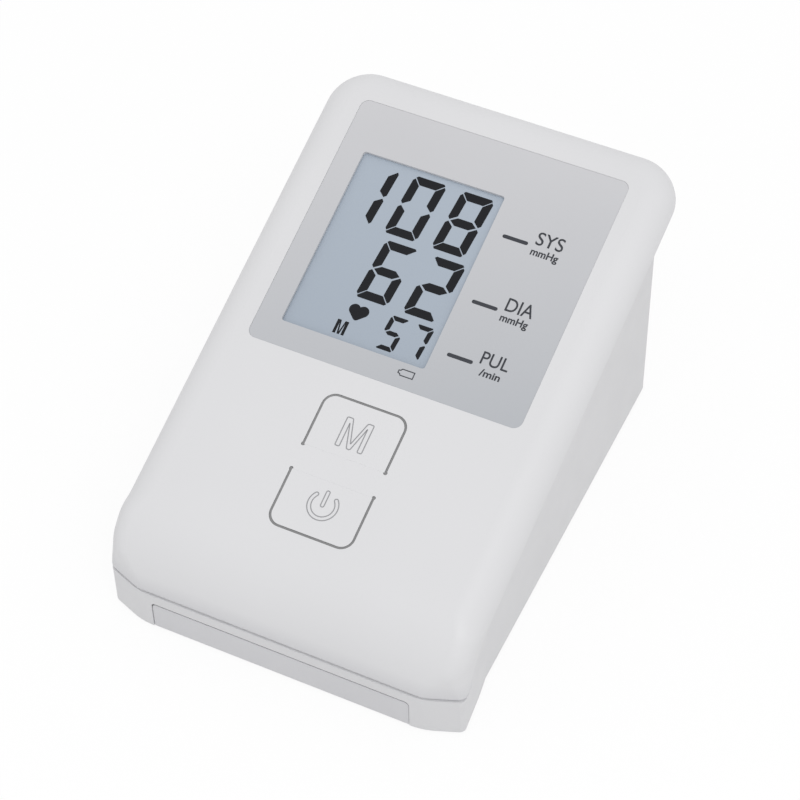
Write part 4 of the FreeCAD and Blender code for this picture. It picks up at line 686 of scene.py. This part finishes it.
def build_segment_tree():
    """Every point becomes one six-cornered segment: its middle, turn, half length, stroke and the
    cuts of its two ends come from the point's attributes."""
    tree, enter, leave = geometry_tree("display_segments", SEGMENT_SIZES)
    blank = step(tree, "GeometryNodeMeshCircle", {"Vertices": 6, "Radius": 1.0}, fill_type="NGON")
    marked = step(tree, "GeometryNodeStoreNamedAttribute",
                  {"Geometry": blank, "Name": "corner", "Value": step(tree, "GeometryNodeInputIndex")},
                  data_type="INT", domain="POINT")
    spots = step(tree, "GeometryNodeInstanceOnPoints",
                 {"Points": enter["Geometry"], "Instance": marked})
    loose = step(tree, "GeometryNodeRealizeInstances", {"Geometry": spots})
    corner = attribute(tree, "corner", "INT")
    half, stroke, turn, near_apex, far_apex = (
        attribute(tree, name) for name in ("half_length", "stroke", "turn", "near_apex", "far_apex"))
    middle, origin, near_cut, far_cut = (
        attribute(tree, name, "FLOAT_VECTOR") for name in ("middle", "origin", "near_cut", "far_cut"))
    near, far = parts_of(tree, near_cut), parts_of(tree, far_cut)
    # corners 0 to 2 run down the near end from the outer side, 3 to 5 back up the far end, so that
    # the face looks out of the glass
    cuts = by_index(tree, corner, [near["X"], near["Y"], near["Z"], far["Z"], far["Y"], far["X"]])
    signs = by_index(tree, corner, [-1.0, -1.0, -1.0, 1.0, 1.0, 1.0])
    depths = by_index(tree, corner, [0.0, near_apex, 1.0, 1.0, far_apex, 0.0])

    inset = maths(tree, "SUBTRACT", half, maths(tree, "MULTIPLY", cuts, stroke))
    along = maths(tree, "MULTIPLY", maths(tree, "SUBTRACT", inset, enter["Gap"]), signs)
    across = maths(tree, "MULTIPLY", maths(tree, "SUBTRACT", 0.5, depths), stroke)
    turned = step(tree, "ShaderNodeVectorRotate",
                  {"Vector": xyz(tree, X=along, Y=across), "Angle": turn}, rotation_type="Z_AXIS")
    upright = parts_of(tree, step(tree, "ShaderNodeVectorMath", {0: turned, 1: middle}))
    lean = maths(tree, "MULTIPLY", upright["Y"], enter["Slant"])
    leaning = xyz(tree, X=maths(tree, "ADD", upright["X"], lean), Y=upright["Y"])
    placed = step(tree, "ShaderNodeVectorMath", {0: leaning, 1: origin})
    shaped = step(tree, "GeometryNodeSetPosition", {"Geometry": loose, "Position": placed})
    thick = step(tree, "GeometryNodeExtrudeMesh",
                 {"Mesh": shaped, "Offset Scale": enter["Thickness"]}, mode="FACES")
    joined = add(tree, "GeometryNodeJoinGeometry")
    for part in (thick, step(tree, "GeometryNodeFlipFaces", {"Mesh": shaped})):
        feed(tree, joined.inputs["Geometry"], part)
    closed = step(tree, "GeometryNodeMergeByDistance",
                  {"Geometry": joined.outputs["Geometry"], "Distance": WELD})
    return close_tree(tree, closed, enter, leave)


def segment_points():
    """One point for each lit segment, with what the tree reads from it."""
    rows = []
    for digit, right, middle_y, width, height, stroke in DIGITS:
        origin = (right - width / 2, middle_y, 0)
        for key in LIT[digit]:
            (x, y), quarter, way, first, second = SEGMENTS[key]
            wide = way == "wide"
            middle = (x * (width - stroke) / 2, y * (height - stroke if wide else height) / 2, 0)
            half = width / 2 if wide else height / 4
            near, far = SEGMENT_ENDS[first], SEGMENT_ENDS[second]
            rows.append((middle, quarter * QUARTER_TURN, half, near[:3], near[3], far[:3], far[3],
                         stroke, origin))
    fields = dict(zip(SEGMENT_FIELDS, zip(*rows)))
    return points_mesh("segment_points", [(0, 0, 0)] * len(rows), **fields)


def dress_display():
    digits = grown_mesh("display_digits", segment_points(), build_segment_tree(), "segment_black",
                        SEGMENT_SIZES)
    digits.transform(Matrix.Translation((0, 0, GLASS_TOP)))
    add_piece("display_digits", digits, "segment_black")
    outlines = [rounded(heart(*HEART), HEART_ROUND), letter_m(*DISPLAY_M)]
    add_piece("display_marks", plates("display_marks", outlines, GLASS_TOP), "segment_black")


# ---- prints on the panel and the keys

LEGENDS = [                 # words, left, right, base line, capital height, weight added to the strokes
    ("SYS", 22.85, 30.75, 13.15, 4.2, 0.005), ("mmHg", 22.75, 30.75, 9.85, 2.25, 0.024),
    ("DIA", 22.9, 30.85, -8.15, 4.2, 0.005), ("mmHg", 22.75, 30.75, -11.35, 2.25, 0.024),
    ("PUL", 22.8, 30.85, -24.9, 4.0, 0.005), ("/min", 23.95, 29.9, -28.2, 2.15, 0.024),
]
DASH_ROWS = (12.55, -8.6, -25.45)
DASH_ENDS = (13.6, 21.15)
DASH_WIDTH = 1.1
CELL_MARK = (4.15, 7.75, -35.65, -33.75)            # left, right, foot and top of the battery's outline
CELL_MARK_NUB = 0.85                                # how far its nub stands out,
CELL_MARK_SHOULDERS = (0.35, 0.5, 0.55)             # and its slanted shoulders
CELL_MARK_LINE = 0.28
GLYPH_LINE = 0.3
KEY_M = (-4.0, 3.85, -60.35, -51.7, 1.3)            # left, right, base, top, stroke
KEY_M_ROUND = 0.4
POWER_CENTRE = (0.34, -77.35)
POWER_RADIUS = 4.3
POWER_STROKE = 1.05
POWER_GAP = 50                                      # half the opening of the ring, in degrees
POWER_BAR = (0.2, -77.85, -73.05, 1.0)              # middle, foot, top, width


def dress_panel():
    dashes = plates("panel_dashes", [bar(*DASH_ENDS, y, DASH_WIDTH) for y in DASH_ROWS], PANEL_TOP)
    add_piece("panel_dashes", dashes, "legend_grey")
    for i, legend in enumerate(LEGENDS):
        add_piece("panel_legend_%d" % (i + 1), text_mesh("legend_%d" % i, *legend, PANEL_TOP),
                  "legend_grey")
    left, right, low, top = CELL_MARK
    slant, edge, neck = CELL_MARK_SHOULDERS
    nub = left - CELL_MARK_NUB
    shell = [(left, low), (right, low), (right, top), (left, top), (left - slant, top - edge),
             (nub, top - neck), (nub, low + neck), (left - slant, low + edge)]
    add_piece("battery_mark", outline_mesh("battery_mark", [shell], CELL_MARK_LINE, PANEL_TOP),
              "legend_grey")


def power_ring():
    """An open ring with round ends, as one closed outline."""
    start, stop = 90 + POWER_GAP, 450 - POWER_GAP
    middle = POWER_RADIUS - POWER_STROKE / 2

    def tip(angle, turn):
        """The points between the two sides of the ring, round one of its ends."""
        at = polar(POWER_CENTRE, middle, angle)
        return arc(at, POWER_STROKE / 2, angle + turn, angle + turn + 180, END_STEPS)[1:-1]

    return (arc(POWER_CENTRE, POWER_RADIUS, start, stop, RING_STEPS) + tip(stop, 0)
            + arc(POWER_CENTRE, POWER_RADIUS - POWER_STROKE, stop, start, RING_STEPS)
            + tip(start, 180))


def dress_keys():
    glyphs = {"memory": [rounded(letter_m(*KEY_M), KEY_M_ROUND)],
              "power": [power_ring(), upright_bar(*POWER_BAR)]}
    for key, paths in glyphs.items():
        mark = outline_mesh(key + "_mark", paths, GLYPH_LINE, KEY_TOP)
        add_piece(key + "_mark", mark, "outline_grey", body=key + "_key")


# ---- seals in the keys' slots, their grey painted slot shade

KEY_HALF = 11.8
KEY_LENGTH = 15.8
KEY_ROUND = 3.2
SLOT = 0.7
SEAL_WIDTH = 0.56           # the seal stands clear of both sides of its slot
SEAL_END = 0.46             # radius of the round stop at each end
SEAL_TOP = -0.2
SEAL_DEPTH = 0.5
STOP_STEPS = 16
BEND_STEPS = 12
KEYS = {"memory_key": (-63.008, 1), "power_key": (-70.608, -1)}     # root line, way to the free end


def slot_seal(root, way):
    """The closed outline of the strip in a key's U-shaped slot, with a round stop at each end."""
    half, reach = SEAL_WIDTH / 2, KEY_HALF + SLOT / 2
    bend = KEY_ROUND + SLOT / 2
    corner_x, corner_y = reach - bend, KEY_LENGTH + SLOT / 2 - bend
    cut = math.degrees(math.asin(half / SEAL_END))
    stops = [arc((x, 0), SEAL_END, 90 + cut, 450 - cut, STOP_STEPS) for x in (reach, -reach)]
    loop = (stops[0] + arc((corner_x, corner_y), bend + half, 0, 90, BEND_STEPS)
            + arc((-corner_x, corner_y), bend + half, 90, 180, BEND_STEPS)
            + stops[1] + arc((-corner_x, corner_y), bend - half, 180, 90, BEND_STEPS)
            + arc((corner_x, corner_y), bend - half, 90, 0, BEND_STEPS))
    return [(x, root + way * y) for x, y in loop]


# each slot gets a grey strip just below the face: a guessed seal whose grey is painted shade of the
# slot
def dress_slots():
    for key, (root, way) in KEYS.items():
        seal = plates(key + "_seal", [slot_seal(root, way)], SEAL_TOP - SEAL_DEPTH, SEAL_DEPTH)
        add_piece(key + "_seal", seal, "seal_grey")


# ---- screws

SCREW = {"Head Radius": 2.5, "Head Height": 1.75, "Shank Radius": 1.25, "Shank Length": 10.0,
         "Recess Width": 0.75, "Recess Depth": 1.1, "Sides": 32}
RECESS_REACH = 1.2          # length of the cross recess's arms, end to end, over the head's radius
PAN_HEAD = [                # half section, top to point: part, radius and height over the part's own
    ("Head", 0.0, 1.0), ("Head", 0.42, 0.98), ("Head", 0.72, 0.88), ("Head", 0.92, 0.66),
    ("Head", 1.0, 0.38), ("Head", 1.0, 0.0), ("Shank", 1.0, 0.0), ("Shank", 1.0, -0.94),
    ("Shank", 0.8, -1.0), ("Shank", 0.0, -1.0),
]
HEAD_DOWN = Matrix.Rotation(math.pi, 4, "X")


def build_screw_tree():
    """Every point becomes a pan-head screw that stands on it, with a cross recess in its head."""
    tree, enter, leave = geometry_tree("cross_screws", SCREW)
    radii, heights = [], []
    for part, radius, height in PAN_HEAD:
        tall = enter["Head Height" if part == "Head" else "Shank Length"]
        radii.append(maths(tree, "MULTIPLY", enter[part + " Radius"], radius))
        heights.append(maths(tree, "MULTIPLY", tall, height))
    blank = lathe(tree, radii, heights, enter["Sides"])
    size = xyz(tree, X=maths(tree, "MULTIPLY", enter["Head Radius"], RECESS_REACH),
               Y=enter["Recess Width"], Z=maths(tree, "MULTIPLY", enter["Recess Depth"], 2))
    arm = step(tree, "GeometryNodeMeshCube", {"Size": size})
    top = xyz(tree, Z=enter["Head Height"])
    recessed = add(tree, "GeometryNodeMeshBoolean", {"Mesh 1": blank}, operation="DIFFERENCE")
    for turn in (0, QUARTER_TURN):
        arm_place = {"Geometry": arm, "Translation": top, "Rotation": (0, 0, turn)}
        feed(tree, recessed.inputs["Mesh 2"], step(tree, "GeometryNodeTransform", arm_place))
    return close_tree(tree, on_points(tree, enter, recessed.outputs["Mesh"]), enter, leave)


def dress_screws():
    """A detailed pair in place of each plain pair, heads down, where its node's own screws are."""
    tree = build_screw_tree()
    for node, turn in (("case_screws_front", Matrix.Identity(4)), ("case_screws_rear", FACE_TURN)):
        back = turn.inverted() @ scaled(1 / MM)
        spots = [back @ v.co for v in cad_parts[node].data.vertices]
        low, high = (Vector(end(s[axis] for s in spots) for axis in range(3)) for end in (min, max))
        seat = low.z + SCREW["Head Height"]
        reach = (high.x - low.x) / 2 - SCREW["Head Radius"]
        base = points_mesh(node + "_points", [(-reach, 0, 0), (reach, 0, 0)])
        mesh = grown_mesh(node + "_dressed", base, tree, "plated_steel",
                          {**SCREW, "Shank Length": high.z - seat})
        place = turn @ scaled(MM) @ Matrix.Translation((0, (low.y + high.y) / 2, seat)) @ HEAD_DOWN
        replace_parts(add_piece(node + "_dressed", mesh, "plated_steel", place=place), node)


# ---- battery bay

CELL_PITCH = 15.2
CELL_SIDES = 48
SPRING = {"Turns": 3.4, "Base Radius": 4.0, "Tip Radius": 2.6, "Length": 3.9, "Wire Radius": 0.32}
SPRING_STEPS = 28           # on each turn
WIRE_STEPS = 10
CELL_CAN = [                # radius and height, from the nub to the flat end
    (0.0, 51.5), (2.4, 51.5), (2.65, 51.35), (2.7, 50.6), (3.1, 50.35), (5.9, 50.3), (6.5, 50.1),
    (6.85, 49.5), (6.85, 1.0), (6.6, 0.35), (6.0, 0.0), (0.0, 0.0),
]
CELL_JACKET = [
    (5.9, 50.36), (6.0, 50.5), (6.6, 50.42), (6.95, 50.1), (7.1, 49.5), (7.1, BAND_FOOT), (7.1, 12.0),
    (7.1, 1.0), (6.95, 0.4), (6.6, 0.08), (6.0, 0.0), (5.9, 0.14), (6.4, 0.3), (6.7, 1.0),
    (6.7, 49.4), (6.4, 50.1), (5.9, 50.36),
]


def build_spring_tree():
    """Every point becomes a tapered coil of round wire that stands on it along Z."""
    tree, enter, leave = geometry_tree("coil_springs", SPRING)
    spiral = step(tree, "GeometryNodeCurveSpiral", {
        "Resolution": SPRING_STEPS, "Rotations": enter["Turns"], "Start Radius": enter["Base Radius"],
        "End Radius": enter["Tip Radius"], "Height": enter["Length"]})
    section = step(tree, "GeometryNodeCurvePrimitiveCircle",
                   {"Resolution": WIRE_STEPS, "Radius": enter["Wire Radius"]})
    coil = step(tree, "GeometryNodeCurveToMesh",
                {"Curve": spiral, "Profile Curve": section, "Fill Caps": True})
    return close_tree(tree, on_points(tree, enter, coil), enter, leave)


def build_turned_tree(name, section):
    """Every point becomes a turned shape with the given half section of radii and heights."""
    tree, enter, leave = geometry_tree(name, {"Sides": CELL_SIDES})
    radii, heights = zip(*section)
    return close_tree(tree, on_points(tree, enter, lathe(tree, radii, heights, enter["Sides"])),
                      enter, leave)


def end_turn(i):
    """The turn that stands something on the front wall, or on the rear one at every second place."""
    return (QUARTER_TURN if i % 2 else -QUARTER_TURN, 0, 0)


def dress_springs():
    """Two springs stand on the front wall's contacts and two on the rear wall's."""
    low, high = (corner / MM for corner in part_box("battery_springs"))
    wire = SPRING["Wire Radius"]
    spots = [((i - 1.5) * CELL_PITCH, high.y - wire if i % 2 else low.y + wire, (low.z + high.z) / 2)
             for i in range(4)]
    base = points_mesh("battery_coil_points", spots, turn=[end_turn(i) for i in range(4)])
    mesh = grown_mesh("battery_coils", base, build_spring_tree(), "spring_steel", SPRING)
    coils = add_piece("battery_coils", mesh, "spring_steel", place=scaled(MM))
    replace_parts(coils, "battery_springs")


def dress_cells():
    """Four cells, every second one the other way round. Their jackets stand for the plain ones."""
    spots = []
    for i in range(4):
        low, high = (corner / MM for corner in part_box("battery_cell_%d" % (i + 1)))
        spots.append(((low.x + high.x) / 2, high.y if i % 2 else low.y, (low.z + high.z) / 2))
    for name, section, finish in (("cell_cans", CELL_CAN, "plated_steel"),
                                  ("cell_jackets", CELL_JACKET, "cell_jacket")):
        base = points_mesh(name + "_points", spots, turn=[end_turn(i) for i in range(4)])
        mesh = grown_mesh(name, base, build_turned_tree(name, section), finish, {"Sides": CELL_SIDES})
        item = add_piece(name, mesh, finish, place=scaled(MM))
    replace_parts(item, *["battery_cell_%d" % i for i in range(1, 5)])


# ---- small parts on the board

PART_FIELDS = [             # first and last place across, and up the slope, of the board's small parts
    ((18.2, 25.4), (-36.0, 24.0)), ((31.6, 38.8), (10.4, 21.0)), ((31.6, 38.8), (-36.0, -10.0)),
    ((-12.2, -8.6), (-76.0, -58.0)), ((8.6, 12.2), (-76.0, -58.0)),
]
PART_STEP = 3.6
STEP_SLACK = 0.01           # of a step, for rounding
PART_SIZE = (2.0, 1.25, 0.55)
CAP = 0.4                   # length of the solder cap on each end of a part,
CAP_PROUD = (0.06, 0.04)    # and how much wider and taller it is than the part
PIN_PITCH = 0.8
PIN_SIZE = (1.3, 0.35, 0.2)
PIN_TUCK = 0.1              # a pin's root is this far inside the processor
PINS_BESIDE = 6             # on each side of the middle one of an edge
PROCESSOR_HALF = 6.0


def build_block_tree():
    """Every point becomes a small block of the point's own size."""
    tree, enter, leave = geometry_tree("small_blocks", {})
    block = step(tree, "GeometryNodeMeshCube", {"Size": (1, 1, 1)})
    blocks = on_points(tree, enter, block, Scale=attribute(tree, "size", "FLOAT_VECTOR"))
    return close_tree(tree, blocks, enter, leave)


def steps_between(first, last):
    """Steps of the small parts' grid from one place to another, both included."""
    return range(int((last - first) / PART_STEP + STEP_SLACK) + 1)


def board_parts():
    """Places of the small parts, and which of them lie up the slope: every third one does, and one
    place in five is bare."""
    return [(x0 + i * PART_STEP, y0 + j * PART_STEP, (i + j) % 3 == 0)
            for (x0, x1), (y0, y1) in PART_FIELDS
            for i in steps_between(x0, x1) for j in steps_between(y0, y1) if (3 * i + 2 * j) % 5]


def chip_blocks():
    """Middle, turn and size of the small parts' bodies, and of the solder caps on their ends."""
    length, width, height = PART_SIZE
    bodies, caps = [], []
    for x, y, upright in board_parts():
        way = Vector((0, 1, 0)) if upright else Vector((1, 0, 0))
        turn = (0, 0, QUARTER_TURN if upright else 0)
        middle = Vector((x, y, BOARD_TOP + height / 2))
        bodies.append((middle, turn, (length - 2 * CAP, width, height)))
        for end in (-1, 1):
            caps.append((middle + way * end * (length - CAP) / 2, turn,
                         (CAP, width + CAP_PROUD[0], height + CAP_PROUD[1])))
    return bodies, caps


def pin_blocks():
    """Middle, turn and size of the pins on the four edges of the processor."""
    rows = []
    for quarter in range(4):
        turn = quarter * QUARTER_TURN
        out = Vector((math.cos(turn), math.sin(turn), 0))
        side = Vector((-out.y, out.x, 0))
        for k in range(-PINS_BESIDE, PINS_BESIDE + 1):
            spot = out * (PROCESSOR_HALF + PIN_SIZE[0] / 2 - PIN_TUCK) + side * k * PIN_PITCH
            spot.z = BOARD_FOOT - PIN_SIZE[2] / 2
            rows.append((spot, (0, 0, turn), PIN_SIZE))
    return rows


def dress_board():
    tree = build_block_tree()
    bodies, caps = chip_blocks()
    for name, finish, rows in (("board_chips", "black_plastic", bodies),
                               ("board_solder", "plated_steel", caps),
                               ("processor_pins", "plated_steel", pin_blocks())):
        spots, turns, sizes = zip(*rows)
        base = points_mesh(name + "_points", spots, turn=turns, size=sizes)
        add_piece(name, grown_mesh(name, base, tree, finish, {}), finish)


dress_nodes()
dress_display()
dress_panel()
dress_keys()
dress_slots()
dress_screws()
dress_springs()
dress_cells()
dress_board()


# ---- stage, light and camera

WHITE = (1, 1, 1, 1)
WORLD_LIGHT = 0.84
FLOOR_SIZE = 6.0
FLOOR_ALBEDO = 0.77         # for the light that the floor throws on the object
FLOOR_GLOW = 0.88           # share of plain white in what is seen of it; the rest takes the shadow
CAMERA_ANGLES = (26.286, 49.864, -1.215)                # to the right, up and round, in degrees
CAMERA_PLACE = Vector((0.20994, -0.45089, 0.53032))     # from the middle of the panel
SENSOR = 36.0
LENS = 119.71


def emptied(owner):
    """The cleared node tree of a material or a world."""
    owner.use_nodes = True
    owner.node_tree.nodes.clear()
    return owner.node_tree


def seen_directly(tree):
    """1 for rays that show the background itself: to the camera, in gloss and through glass."""
    path = add(tree, "ShaderNodeLightPath").outputs
    first = maths(tree, "MAXIMUM", path["Is Camera Ray"], path["Is Glossy Ray"])
    return maths(tree, "MAXIMUM", first, path["Is Transmission Ray"])


def mixed_shader(tree, factor, first, second):
    return step(tree, "ShaderNodeMixShader", {0: factor, 1: first, 2: second})


def make_floor():
    shape = bmesh.new()
    bmesh.ops.create_grid(shape, x_segments=1, y_segments=1, size=FLOOR_SIZE / 2)
    mesh = bpy.data.meshes.new("floor")
    shape.to_mesh(mesh)
    shape.free()
    mat = bpy.data.materials.new("floor_white")
    tree = emptied(mat)
    diffuse = step(tree, "ShaderNodeBsdfDiffuse", {"Color": (FLOOR_ALBEDO,) * 3 + (1,)})
    bright = step(tree, "ShaderNodeBsdfDiffuse", {"Color": WHITE})
    glow = step(tree, "ShaderNodeEmission", {"Color": WHITE, "Strength": 1.0})
    shown = mixed_shader(tree, FLOOR_GLOW, bright, glow)
    add(tree, "ShaderNodeOutputMaterial",
        {"Surface": mixed_shader(tree, seen_directly(tree), diffuse, shown)})
    mesh.materials.append(mat)
    item = bpy.data.objects.new("floor", mesh)
    bpy.context.scene.collection.objects.link(item)


def make_world():
    world = bpy.data.worlds.new("studio")
    bpy.context.scene.world = world
    tree = emptied(world)
    light = step(tree, "ShaderNodeBackground", {"Color": WHITE, "Strength": WORLD_LIGHT})
    white = step(tree, "ShaderNodeBackground", {"Color": WHITE, "Strength": 1.0})
    add(tree, "ShaderNodeOutputWorld",
        {"Surface": mixed_shader(tree, seen_directly(tree), light, white)})


def make_lamp(name, spot, target, size, power):
    data = bpy.data.lights.new(name, "AREA")
    data.shape = "DISK"
    data.size = size
    data.energy = power
    lamp = bpy.data.objects.new(name, data)
    lamp.location = spot
    lamp.rotation_euler = (Vector(target) - Vector(spot)).to_track_quat("-Z", "Y").to_euler()
    bpy.context.scene.collection.objects.link(lamp)


def make_camera():
    yaw, pitch, roll = (math.radians(a) for a in CAMERA_ANGLES)
    level = math.cos(pitch)
    back = Vector((math.sin(yaw) * level, -math.cos(yaw) * level, math.sin(pitch)))
    right = (-back).cross(Vector((0, 0, 1))).normalized()
    up = right.cross(-back)
    tilted_right = right * math.cos(roll) + up * math.sin(roll)
    tilted_up = up * math.cos(roll) - right * math.sin(roll)
    turn = Matrix((tilted_right, tilted_up, back)).transposed().to_4x4()
    data = bpy.data.cameras.new("camera")
    data.sensor_width = SENSOR
    data.lens = LENS
    data.dof.use_dof = False
    data.clip_start = 0.01
    camera = bpy.data.objects.new("camera", data)
    camera.matrix_world = Matrix.Translation(FACE.translation + CAMERA_PLACE) @ turn
    bpy.context.scene.collection.objects.link(camera)
    bpy.context.scene.camera = camera


make_floor()
make_world()
make_lamp("key_lamp", spot=(0.5, -0.5, 1.1), target=(0, 0, 0.05), size=0.9, power=3.1)
make_camera()
bpy.context.scene.view_settings.view_transform = "Standard"
